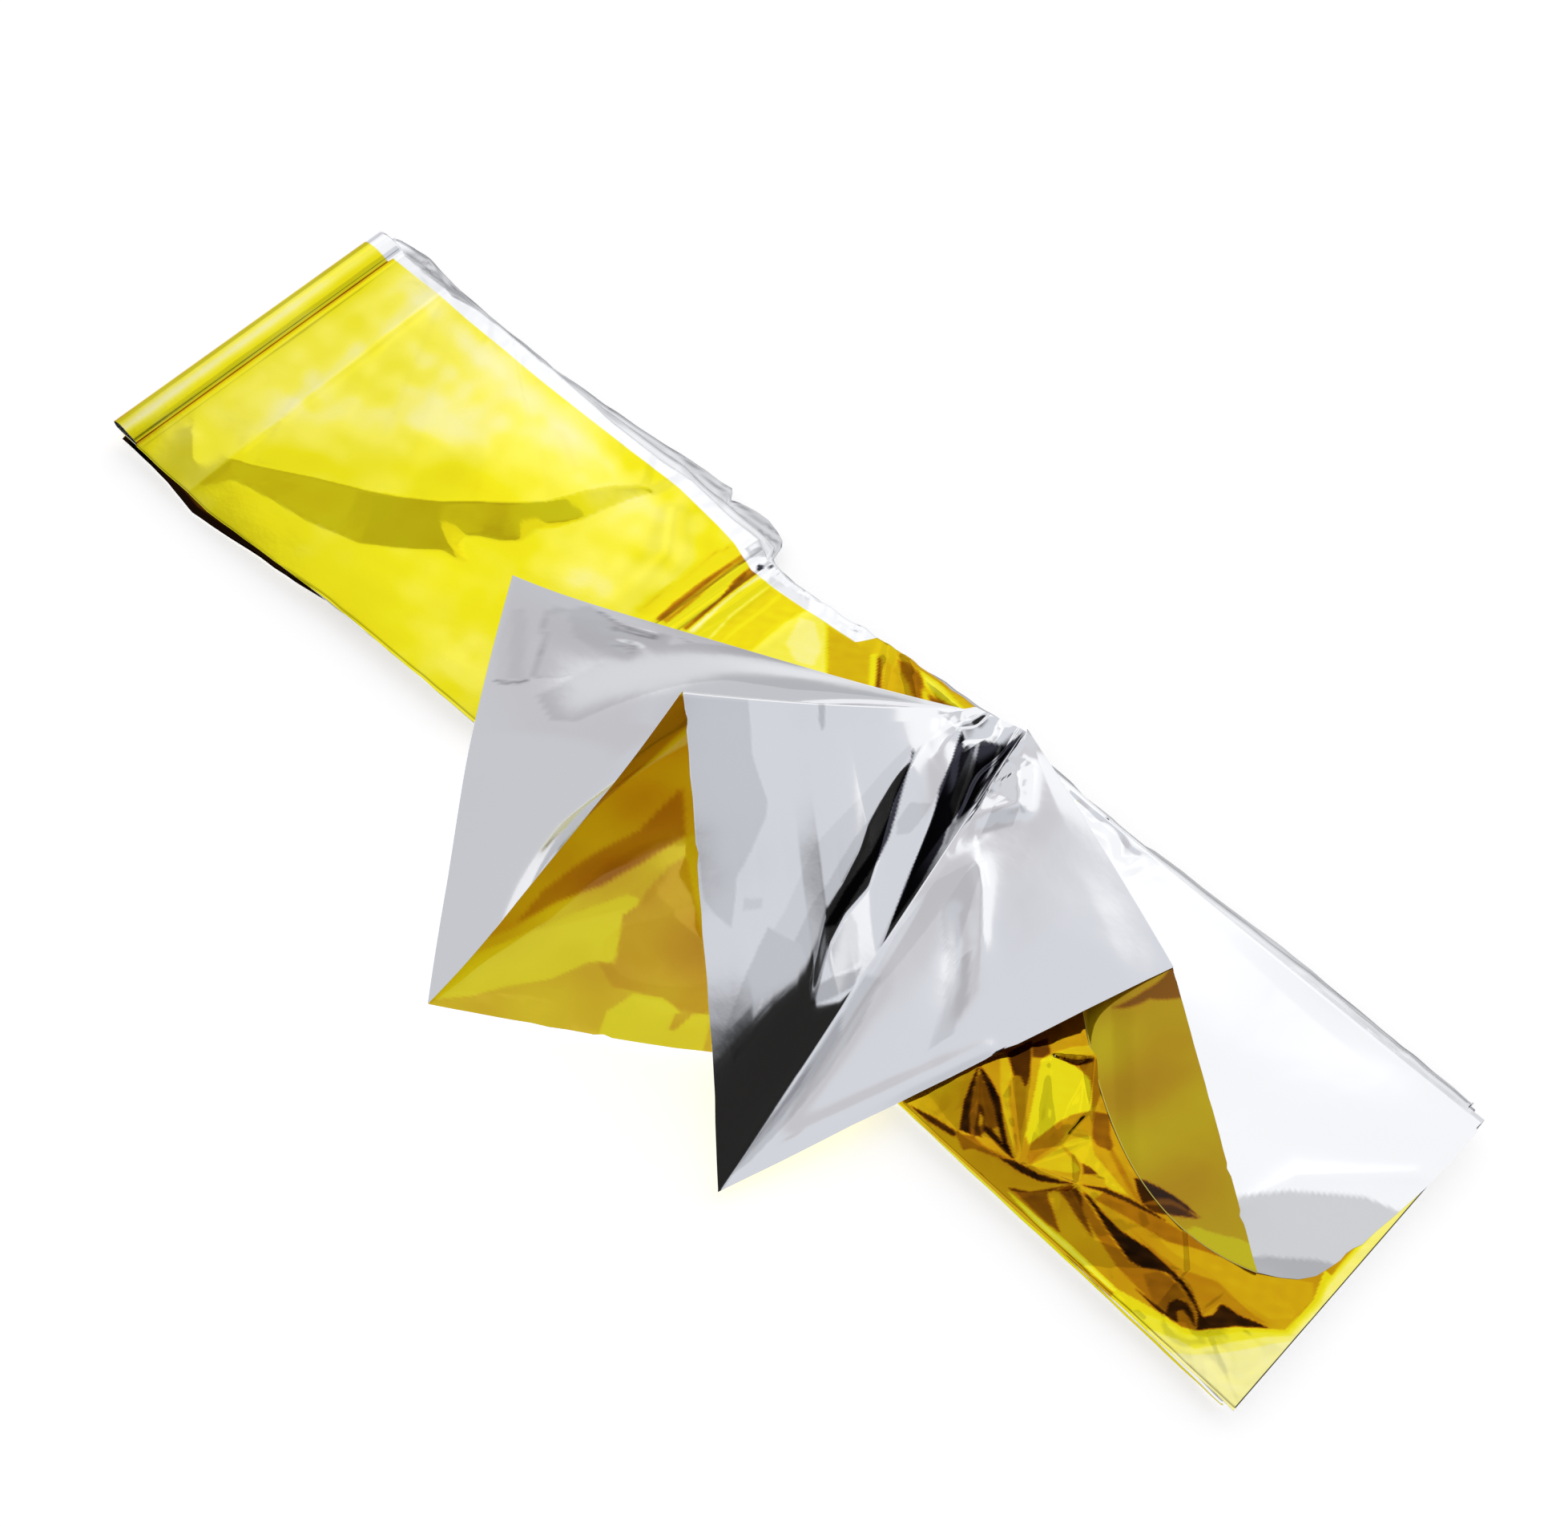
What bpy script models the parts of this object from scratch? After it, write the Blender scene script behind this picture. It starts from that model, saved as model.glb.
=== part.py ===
"""Emergency foil blanket, partly unfolded: one metallised film in its folds.

The film lies as a long strip of back-and-forth layers. At the strip's right half the top layer folds
back over itself, and from there a fan of pleats is pulled out over the strip's lower edge, so that
its creases all meet at one pinch on the upper edge.

Sizes are in millimetres in the tables and become metres in the meshes. The strip's own frame has
+X along the strip, +Y across it and +Z up, with its zero at the lower left corner on the floor.
The finished part is moved so that its origin is the middle of its box, on the floor.
"""
import math

import bpy
import numpy as np

MM = 0.001

# ---- driving sizes, millimetres ------------------------------------------------------------------
STRIP_LENGTH = 355.0
STRIP_WIDTH = 87.5
STRIP_FILM = 1.1          # thickness that stands for the strip's film
FAN_FILM = 1.0            # thickness that stands for the fan's film
PITCH = 1.7               # from one layer to the next
FOLD_STEPS = 4            # faces round a flattened fold
COLUMNS_STRIP = 12        # faces across the strip
COLUMNS_FAN = 12          # faces along a crease of the fan

FLOOR_RUN = STRIP_FILM / 2.0                 # middle height of the lowest run
TOP_RUN = FLOOR_RUN + 3 * PITCH              # middle height of the strip's top run
FLAP_HEIGHT = TOP_RUN + PITCH                # middle height of what lies next on the strip

# The strip's runs from the floor up: where each starts and ends along the strip.
RUN_COLUMNS = ("name", "start", "end")
RUNS = (
    ("floor run", 349.0, 3.0),
    ("second run", 3.0, 351.0),
    ("third run", 351.0, 9.0),
    ("top run", 9.0, 355.0),
)

# How far each run's two long edges lie from the strip's own edges, at places along the strip.
EDGE_COLUMNS = ("run", "x", "low", "high")
EDGES = (
    ("floor run", 0.0, -1.6, 0.4),
    ("floor run", 90.0, 4.8, -0.4),
    ("floor run", 180.0, 6.0, -1.2),
    ("floor run", 265.0, 4.2, -1.0),
    ("floor run", 355.0, 0.8, -0.6),
    ("second run", 0.0, -0.6, 2.6),
    ("second run", 12.0, -0.4, 5.4),
    ("second run", 38.0, 1.2, 3.0),
    ("second run", 100.0, 4.0, 0.6),
    ("second run", 180.0, 5.0, -1.0),
    ("second run", 265.0, 3.6, -1.4),
    ("second run", 355.0, 0.2, 0.2),
    ("third run", 0.0, 0.0, 1.0),
    ("third run", 60.0, 2.2, 1.6),
    ("third run", 100.0, 3.2, 4.2),
    ("third run", 122.0, 4.0, 6.2),
    ("third run", 145.0, 4.2, 3.0),
    ("third run", 151.0, 4.2, -0.8),
    ("third run", 265.0, 3.0, -1.4),
    ("third run", 355.0, 0.9, -0.4),
    ("top run", 0.0, 0.0, 0.0),
    ("top run", 60.0, 2.2, 0.2),
    ("top run", 130.0, 3.9, 0.0),
    ("top run", 178.0, 4.4, 0.3),
    ("top run", 222.0, 3.8, 1.2),
    ("top run", 240.0, 3.2, 0.3),
    ("top run", 265.0, 2.2, 0.4),
    ("top run", 355.0, 0.0, 0.0),
)

# The flattened tube that the film makes where it turns over the strip's left end.
CUFF_WIDTH = 9.0
CUFF_NOSE = 3.2           # length of the tube's round nose
CUFF_HEIGHT = 3.6         # from its lower wall to its upper wall, middle to middle
CUFF_NOSE_POINTS, CUFF_BACK_POINTS = 7, 5

# Places along the strip where its runs get a row of points: the top run has more, for its creases.
LAYER_STATIONS = (12, 38, 65, 90, 105, 122, 134, 145, 151, 180, 222, 265, 310)
TOP_STATIONS = (12, 21, 26.5, 32, 60, 95, 125, 134, 138, 141, 144.5, 148, 152, 160, 172, 178, 184, 194, 202,
                210, 222, 240, 256)
CRUMPLE_START, CRUMPLE_END, CRUMPLE_STEP = 262.0, 342.0, 4.5

# Soft creases pressed into the strip's top run: from, to, height and half width of each.
CREASE_COLUMNS = ("x0", "y0", "x1", "y1", "height", "width")
TOP_CREASES = (
    (27.5, -2.0, 25.5, 90.0, 0.5, 4.0),
    (139.0, 40.0, 143.0, 90.0, 1.3, 3.5),
    (147.5, 40.0, 149.0, 90.0, 1.0, 3.5),
    (176.0, 66.0, 181.0, 88.0, 1.1, 4.0),
    (196.0, 78.0, 208.0, 88.0, 1.2, 4.0),
    (289.5, 8.6, 302.0, 13.3, 2.4, 4.5),
    (289.5, 8.6, 275.0, 32.0, 1.9, 4.5),
    (289.5, 8.6, 270.0, 6.0, 1.4, 4.0),
    (302.0, 13.3, 295.0, 19.0, 2.2, 4.5),
    (295.0, 19.0, 277.0, 29.0, 1.8, 4.5),
    (302.0, 13.3, 336.0, 9.0, 1.9, 4.5),
    (302.0, 13.3, 312.0, 4.5, 1.2, 4.0),
)

# The fan's creases, each from its end at the pinch to its outer end, with the bow of its middle.
LINE_COLUMNS = ("name", "inner", "outer", "bow", "skew")
LINES = (
    ("flap root", (236.0, 87.0, FLAP_HEIGHT), (354.0, 87.0, FLAP_HEIGHT), (0.0, 0.0, 0.0), 1.0),
    ("flap turn", (237.0, 80.5, FLAP_HEIGHT), (340.6, 25.6, FLAP_HEIGHT + 0.3), (-2.0, -17.0, 0.0), 1.5),
    ("right ridge", (227.5, 86.5, 13.4), (285.4, 64.6, 12.4), (0.0, 0.0, 1.0), 1.0),
    ("valley", (222.8, 83.5, 11.2), (247.6, -38.6, 2.8), (-0.4, 0.0, 3.8), 1.0),
    ("left ridge", (209.5, 82.2, 13.0), (171.3, 28.7, 39.5), (0.0, 0.0, -1.5), 1.0),
    ("left turn", (106.8, 36.7, 0.0), (172.0, -50.7, 0.0), (0.0, 0.0, 0.0), 1.0),
    ("hidden end", (212.0, 77.0, 0.0), (233.0, -11.0, 0.0), (0.0, 0.0, 0.0), 1.0),
)

# How the lowest panel of the fan steps from the strip down to the floor beyond its lower edge.
DRAPE_TOP_Y = 1.0
DRAPE_FLOOR_Y = -30.0
DRAPE_FLOOR = FAN_FILM / 2.0 + 0.1

# Faces from crease to crease in each panel, from the flap to the hidden end.
FLAP_ROWS, RIGHT_PANEL_ROWS, MIDDLE_PANEL_ROWS = 8, 5, 9
PLEAT_PANEL_ROWS, LEFT_PANEL_ROWS, LOWEST_PANEL_ROWS = 12, 7, 6


def rows(table, columns):
    """Gives each row of a table as a dictionary by its columns' names."""
    return [dict(zip(columns, row)) for row in table]


def smooth(value):
    """Rises from 0 to 1 with level ends as value goes from 0 to 1."""
    value = np.clip(value, 0.0, 1.0)
    return value * value * (3.0 - 2.0 * value)


# ---- the strip -----------------------------------------------------------------------------------
def strip_stations(run):
    """Places along a run: wide apart where it is flat, closer where its creases lie."""
    inside = LAYER_STATIONS
    if run["name"] == "top run":
        crumple = np.arange(CRUMPLE_START, CRUMPLE_END, CRUMPLE_STEP)
        inside = TOP_STATIONS + tuple(crumple) + (CRUMPLE_END + CRUMPLE_STEP,)
    low, high = sorted((run["start"], run["end"]))
    stations = [low] + [x for x in inside if low + 1 < x < high - 1] + [high]
    return np.array(stations if run["start"] < run["end"] else stations[::-1])


def turn(x, low, high, side):
    """Half round fold in the strip's section, from height low to height high, bulging to side."""
    angle = np.linspace(0, math.pi, FOLD_STEPS + 1)[1:-1]
    radius = (high - low) / 2
    return x + side * radius * np.sin(angle), (low + high) / 2 - radius * np.cos(angle)


def cuff():
    """Teardrop section of the left end's tube: a half ellipse nose, then a soft S down to the top run."""
    low = TOP_RUN - PITCH
    angle = np.linspace(0, math.pi, CUFF_NOSE_POINTS)
    nose_x = CUFF_NOSE - CUFF_NOSE * np.sin(angle)
    nose_z = low + CUFF_HEIGHT / 2 * (1 - np.cos(angle))
    back = np.linspace(0, 1, CUFF_BACK_POINTS)[1:-1]
    back_x = CUFF_NOSE + (CUFF_WIDTH - CUFF_NOSE) * back
    back_z = low + CUFF_HEIGHT + (TOP_RUN - low - CUFF_HEIGHT) * smooth(back)
    return np.concatenate([nose_x, back_x]), np.concatenate([nose_z, back_z])


def crease_height(x, y, creases):
    """Adds up tent-like ridges: each falls evenly to nothing at its half width from its line."""
    height = np.zeros_like(x)
    for crease in creases:
        run_x, run_y = crease["x1"] - crease["x0"], crease["y1"] - crease["y0"]
        along = ((x - crease["x0"]) * run_x + (y - crease["y0"]) * run_y) / (run_x ** 2 + run_y ** 2)
        along = np.clip(along, 0, 1)
        away = np.hypot(x - crease["x0"] - along * run_x, y - crease["y0"] - along * run_y)
        ridge = crease["height"] * np.clip(1 - away / crease["width"], 0, 1)
        height = np.maximum(height, ridge)
    return height


def strip_grid():
    """Points of the strip's middle surface: a row for each place along its section, columns across."""
    across = np.linspace(0, 1, COLUMNS_STRIP + 1)
    grid = []
    runs = rows(RUNS, RUN_COLUMNS)
    for level, run in enumerate(runs):
        height = FLOOR_RUN + level * PITCH
        x = strip_stations(run)
        z = np.full_like(x, height)
        if level + 1 < len(runs):
            side = -1 if run["end"] < run["start"] else 1
            bend_x, bend_z = turn(run["end"], height, height + PITCH, side)
            if runs[level + 1]["name"] == "top run":
                bend_x, bend_z = cuff()
            x, z = np.concatenate([x, bend_x]), np.concatenate([z, bend_z])
        edge = [row for row in rows(EDGES, EDGE_COLUMNS) if row["run"] == run["name"]]
        places = [row["x"] for row in edge]
        low = np.interp(x, places, [row["low"] for row in edge])
        high = STRIP_WIDTH + np.interp(x, places, [row["high"] for row in edge])
        y = low[:, None] + (high - low)[:, None] * across
        x, z = np.repeat(x[:, None], across.size, 1), np.repeat(z[:, None], across.size, 1)
        if level == len(runs) - 1:
            z = z + crease_height(x, y, rows(TOP_CREASES, CREASE_COLUMNS))
        grid.append(np.stack([x, y, z], 2))
    return np.concatenate(grid)


# ---- the flap and the fan ------------------------------------------------------------------------
def drape(y):
    """Height of the fan's lowest panel: level on the strip, then down to the floor beyond its edge."""
    fall = smooth((DRAPE_TOP_Y - y) / (DRAPE_TOP_Y - DRAPE_FLOOR_Y))
    return FLAP_HEIGHT + (DRAPE_FLOOR - FLAP_HEIGHT) * fall


def crease_line(name):
    """Points of one crease: a straight line from inner to outer, bowed by a parabola that may lean."""
    line = {row["name"]: row for row in rows(LINES, LINE_COLUMNS)}[name]
    inner, outer, bow = (np.array(line[key]) for key in ("inner", "outer", "bow"))
    t = np.linspace(0, 1, COLUMNS_FAN + 1)[:, None]
    leaning = t ** line["skew"]
    return inner + t * (outer - inner) + 4 * leaning * (1 - leaning) * bow


def raised(line, lift):
    """The same line, lifted."""
    return line + np.array([0.0, 0.0, lift])


def flattened_fold(low, high, side):
    """Half round between two lines, one above the other, bulging level to the given side of them."""
    tangent = np.gradient(low[:, :2], axis=0)
    tangent /= np.linalg.norm(tangent, axis=1)[:, None]
    outward = side * np.stack([-tangent[:, 1], tangent[:, 0], np.zeros(len(low))], 1)
    middle, half = (low + high) / 2, (high - low) / 2
    radius = np.linalg.norm(half, axis=1)[:, None]
    angles = np.linspace(0, math.pi, FOLD_STEPS + 1)[1:-1]
    return [middle - half * math.cos(a) + outward * radius * math.sin(a) for a in angles]


def panel(first, last, count, edge_bow=(0, 0, 0), root_bow=(0, 0, 0), relief=None):
    """Ruled rows from one crease to the next. The outer and inner edges bow, and relief adds height."""
    t = np.linspace(0, 1, COLUMNS_FAN + 1)[:, None]
    made = []
    for s in np.linspace(0, 1, count + 1):
        bulge = 1 - (2 * s - 1) ** 4
        row = first + s * (last - first) + bulge * t ** 6 * np.array(edge_bow, float)
        row = row + bulge * (1 - t) ** 6 * np.array(root_bow, float)
        if relief:
            row = row + np.array([0.0, 0.0, 1.0]) * relief(s, t)
        made.append(row)
    return made


def pleats(s, t):
    """Two soft pleats beside the valley: a trough and a ridge that fade towards the outer edge."""
    spread = np.sin(math.pi * np.clip(t, 0, 1) ** 0.8)
    trough = -3.2 * np.exp(-((s - 0.50) / 0.12) ** 2)
    ridge = 2.6 * np.exp(-((s - 0.27) / 0.10) ** 2)
    return spread * (trough + ridge)


def sag(depth):
    """A panel that hangs a little between its creases, most at the middle of its length."""
    return lambda s, t: -depth * 4 * s * (1 - s) * np.sin(math.pi * t)


def fan_grid():
    """Points of the film from the flap's root in the top run, over every crease to the hidden end."""
    root = crease_line("flap root")
    flap_turn = crease_line("flap turn")
    right_ridge = crease_line("right ridge")
    valley = crease_line("valley")
    left_ridge = crease_line("left ridge")
    left_turn = crease_line("left turn")
    hidden_end = crease_line("hidden end")
    left_turn[:, 2] = drape(left_turn[:, 1])

    in_film = raised(root, -PITCH)
    tongue = in_film + np.array([0.0, -3.0, 0.0])
    grid = [tongue, in_film] + flattened_fold(in_film, root, side=1)
    grid += panel(root, flap_turn, FLAP_ROWS, edge_bow=(4.6, -1.0, 2.5))
    grid += flattened_fold(flap_turn, raised(flap_turn, PITCH), side=-1)
    grid += panel(raised(flap_turn, PITCH), right_ridge, RIGHT_PANEL_ROWS)
    grid += flattened_fold(right_ridge, raised(right_ridge, PITCH), side=1)
    grid += panel(raised(right_ridge, PITCH), valley, MIDDLE_PANEL_ROWS, relief=sag(-2.0))
    grid += panel(valley, left_ridge, PLEAT_PANEL_ROWS, relief=pleats)[1:]
    grid += panel(left_ridge, raised(left_turn, PITCH), LEFT_PANEL_ROWS, (0, 0, -3.0), (0, -1.8, 0))[1:]
    grid += flattened_fold(raised(left_turn, PITCH), left_turn, side=-1)
    lowest = panel(left_turn, hidden_end, LOWEST_PANEL_ROWS)
    for row in lowest:
        row[:, 2] = drape(row[:, 1])
    return np.array(grid + lowest)


# ---- objects -------------------------------------------------------------------------------------
def film_object(name, grid, thickness):
    """Puts a grid of points into a mesh of four-sided faces and gives it the film's thickness."""
    count, width = grid.shape[:2]
    corner = (np.arange(count - 1)[:, None] * width + np.arange(width - 1)).ravel()
    faces = np.stack([corner, corner + 1, corner + width + 1, corner + width], 1)
    mesh = bpy.data.meshes.new(name)
    mesh.from_pydata((grid.reshape(-1, 3) * MM).tolist(), [], faces.tolist())
    mesh.update()
    film = bpy.data.objects.new(name, mesh)
    bpy.context.scene.collection.objects.link(film)
    shell = film.modifiers.new("film thickness", "SOLIDIFY")
    shell.thickness = thickness * MM
    shell.offset = 0.0
    shell.use_quality_normals = True
    return film


def film_material():
    """Gold lacquer over bright metal."""
    material = bpy.data.materials.new("gold and silver film")
    material.use_nodes = True
    shader = material.node_tree.nodes["Principled BSDF"]
    shader.inputs["Base Color"].default_value = (0.80, 0.66, 0.03, 1.0)
    shader.inputs["Metallic"].default_value = 1.0
    shader.inputs["Roughness"].default_value = 0.18
    return material


def stand_on_origin(film, helpers):
    """Moves the part so that its origin is the middle of its box, on the floor."""
    bpy.context.view_layer.update()
    shape = film.evaluated_get(bpy.context.evaluated_depsgraph_get())
    corners = np.array([list(corner) for corner in shape.bound_box])
    low, high = corners.min(0), corners.max(0)
    middle = (low + high) / 2
    for item in [film] + helpers:
        item.location = (-middle[0], -middle[1], -low[2])
    print("box", low / MM, "to", high / MM)


def main():
    for old in list(bpy.data.objects):
        bpy.data.objects.remove(old)
    blanket = film_object("foil_blanket", strip_grid(), STRIP_FILM)
    fan = film_object("fan", fan_grid(), FAN_FILM)
    fan.hide_render = True
    fan.display_type = "WIRE"
    join = blanket.modifiers.new("one film", "BOOLEAN")
    join.operation = "UNION"
    join.object = fan
    blanket.data.materials.append(film_material())
    fan.data.materials.append(blanket.data.materials[0])
    stand_on_origin(blanket, [fan])


main()
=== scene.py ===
# %% [markdown]
# # Emergency foil blanket, partly unfolded
#
# A rescue blanket is one very large, very thin polyester film: gold lacquer on one face, bare vapour-deposited
# aluminium on the other. Here it lies as a folded strip with a fan of pleats pulled out of it. The packed
# model is loaded first. It holds the real sizes, and everything below is built in its frame, in metres.

# %% Load the frame
import math

import bpy
import numpy as np
from mathutils import Matrix, Vector


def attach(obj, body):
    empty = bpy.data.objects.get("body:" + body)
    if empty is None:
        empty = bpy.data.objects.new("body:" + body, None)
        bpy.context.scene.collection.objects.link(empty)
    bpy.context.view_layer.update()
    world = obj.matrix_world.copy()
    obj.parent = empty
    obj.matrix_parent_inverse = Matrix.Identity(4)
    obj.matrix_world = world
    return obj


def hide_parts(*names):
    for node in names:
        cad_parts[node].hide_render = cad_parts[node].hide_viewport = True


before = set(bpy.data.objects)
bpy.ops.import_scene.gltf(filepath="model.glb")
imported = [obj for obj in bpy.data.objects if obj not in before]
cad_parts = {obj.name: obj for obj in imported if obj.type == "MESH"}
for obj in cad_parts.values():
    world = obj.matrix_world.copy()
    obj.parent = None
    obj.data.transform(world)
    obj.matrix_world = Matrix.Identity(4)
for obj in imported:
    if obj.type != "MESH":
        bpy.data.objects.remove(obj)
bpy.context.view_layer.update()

# %% [markdown]
# ## Sizes
#
# The shapes are worked out in the strip's own frame, in millimetres: +X along the strip, +Y across it, and zero
# at its lower left corner on the floor. One shift takes them to the part's frame, whose origin is the middle
# of the part's box.

# %% Named sizes
MM = 0.001
STRIP_ZERO = np.array([-177.473, -21.096, 0.0])   # where the strip's own zero lies in the part's frame
STRIP_LENGTH, STRIP_WIDTH = 355.0, 87.5
FILM = 0.07                                       # the film is drawn this thick, so that its edge shows
TOP_RUN = 5.65                                    # height of the strip's top layer
FLAP_HEIGHT = 6.15                                # height of what lies next on it
NARROW = 0.40                                     # from layer to layer at a sharp fold of the fan


def smooth(value):
    """Rises from 0 to 1 with level ends while value goes from 0 to 1."""
    value = np.clip(value, 0.0, 1.0)
    return value * value * (3.0 - 2.0 * value)


def table(columns, rows):
    """Gives each row of a short table as a dictionary, by the columns' names."""
    names = columns.split()
    return [dict(zip(names, row)) for row in rows]


# %% [markdown]
# ## Creases as numbers
#
# A thin film can't stretch, so it bends in soft waves and breaks in straight creases. Both are added as heights
# on a smooth base surface. A crease is a short line with a height and a width at each end: a soft one has a
# bell-shaped section, and a sharp one falls away from a crest like a folded edge.

# %% Waves and creases
def waves(x, y, seed, wavelength, height, count=9):
    """Sum of a few sine waves in seeded directions, with lengths near the one given: an uneven sheet."""
    draw = np.random.default_rng(seed)
    total = np.zeros_like(x)
    for angle, stretch, phase in zip(draw.uniform(0, math.tau, count), draw.uniform(0.7, 1.5, count),
                                     draw.uniform(0, math.tau, count)):
        number = math.tau / (wavelength * stretch)
        total += np.sin(number * (x * math.cos(angle) + y * math.sin(angle)) + phase)
    return height * total / math.sqrt(count / 2)


def along_path(points, path):
    """Each point's distance from a path of straight pieces, whether it lies on the path's left, and the place
    on the path that is nearest to it, counted in pieces."""
    path = np.asarray(path, float)
    away = np.full(points.shape[:-1], np.inf)
    on_left, place = np.zeros(points.shape[:-1], bool), np.zeros(points.shape[:-1])
    for number in range(len(path) - 1):
        run = path[number + 1] - path[number]
        along = np.clip(((points - path[number]) @ run) / (run @ run), 0, 1)
        offset = points - path[number] - along[..., None] * run
        distance = np.linalg.norm(offset, axis=-1)
        closer = distance < away
        away = np.where(closer, distance, away)
        on_left = np.where(closer, run[0] * offset[..., 1] - run[1] * offset[..., 0] > 0, on_left)
        place = np.where(closer, number + along, place)
    return away, on_left, place


def fold(points, path, heights, left, right, sharp):
    """Height over flat points by their distance d from a path of straight pieces: exp(-(d/w)^2) for a soft
    fold, exp(-d/w) for a sharp one. The width w differs on the path's two sides, and height and widths
    change evenly from each corner of the path to the next."""
    away, on_left, place = along_path(points, path)
    size, left, right = (np.interp(place, range(len(path)), row) for row in (heights, left, right))
    ratio = away / np.where(on_left, left, right)
    return size * (np.exp(0.15 - np.sqrt(ratio ** 2 + 0.0225)) if sharp else np.exp(-ratio ** 2))


def facets(x, y, seed, size, height):
    """Crumpled film: random heights at the corners of a net of triangles, joined by flat facets. The net is
    warped by waves first, so that no two facets are alike."""
    u = (x + waves(x, y, seed + 1, 5 * size, 0.7 * size)) / size
    v = (y + waves(x, y, seed + 2, 5 * size, 0.7 * size)) / size - 0.5 * u
    column, row = np.floor(u).astype(int), np.floor(v).astype(int)
    fu, fv = u - column, v - row
    heights = np.random.default_rng(seed).uniform(-1, 1, (64, 64))
    pick = lambda i, j: heights[(column + i) % 64, (row + j) % 64]
    upper = fu + fv > 1
    low = pick(0, 0) + fu * (pick(1, 0) - pick(0, 0)) + fv * (pick(0, 1) - pick(0, 0))
    high = pick(1, 1) + (1 - fu) * (pick(0, 1) - pick(1, 1)) + (1 - fv) * (pick(1, 0) - pick(1, 1))
    return height * np.where(upper, high, low)


# %% Outlines
def outline(text):
    """Corners of a closed outline, from a text of x and y pairs such as "12 76, 60 76, 30 80"."""
    return np.array([pair.split() for pair in text.split(",")], float)


def inside(points, corners):
    """True where a point lies in a closed outline: a ray from it towards +x crosses the outline an odd number
    of times. Points outside the outline's own box are left out first."""
    result = np.zeros(points.shape[:-1], bool)
    near = ((points >= corners.min(0)) & (points <= corners.max(0))).all(-1)
    x, y = points[near].T
    odd = np.zeros(x.shape, bool)
    for (ax, ay), (bx, by) in zip(corners, np.roll(corners, -1, 0)):
        if ay != by:
            odd ^= ((ay > y) != (by > y)) & (x < ax + (bx - ax) * (y - ay) / (by - ay))
    result[near] = odd
    return result


def painted(x, y, base, rows, cell):
    """Sets a value inside each outline of a table, the later ones over the earlier. The value is the mean of
    five tries, at each point and at four places round it, so that an outline isn't stepped like the grid."""
    tries = []
    for across, along in ((0, 0), (0.4, 0.14), (-0.14, 0.4), (-0.4, -0.14), (0.14, -0.4)):
        points = np.stack([x + across * cell[0], y + along * cell[1]], -1)
        value = np.broadcast_to(base, x.shape)
        for row in rows:
            value = np.where(inside(points, outline(row["corners"])), row["value"], value)
        tries.append(value)
    return sum(tries) / len(tries)


def terrace(points, foot, top, rises, falls):
    """Height of a ramp from a foot path up to a top path: it grows with the share of the way between the two,
    and past the top it falls away as exp(-d/fall). The rise and the fall change along the top path."""
    to_foot = along_path(points, foot)[0]
    to_top, beyond, place = along_path(points, top)
    ramp = to_foot / np.maximum(to_foot + to_top, 1e-6)
    within = inside(points, np.concatenate([foot, top[::-1]]))
    rise, fall = (np.interp(place, range(len(top)), row) for row in (rises, falls))
    return rise * np.where(within, ramp, beyond * np.exp(-to_top / fall))


print("an outline's corners:", outline("12 76, 60 76, 30 80").tolist())

# %% [markdown]
# ## The strip
#
# The strip is the film folded back and forth. Its section along the strip is a row of level runs joined by
# half round turns, and the last turn at the left is a flattened tube. Each run's long edges wander a little,
# so the layers show as separate fine lines.

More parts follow.
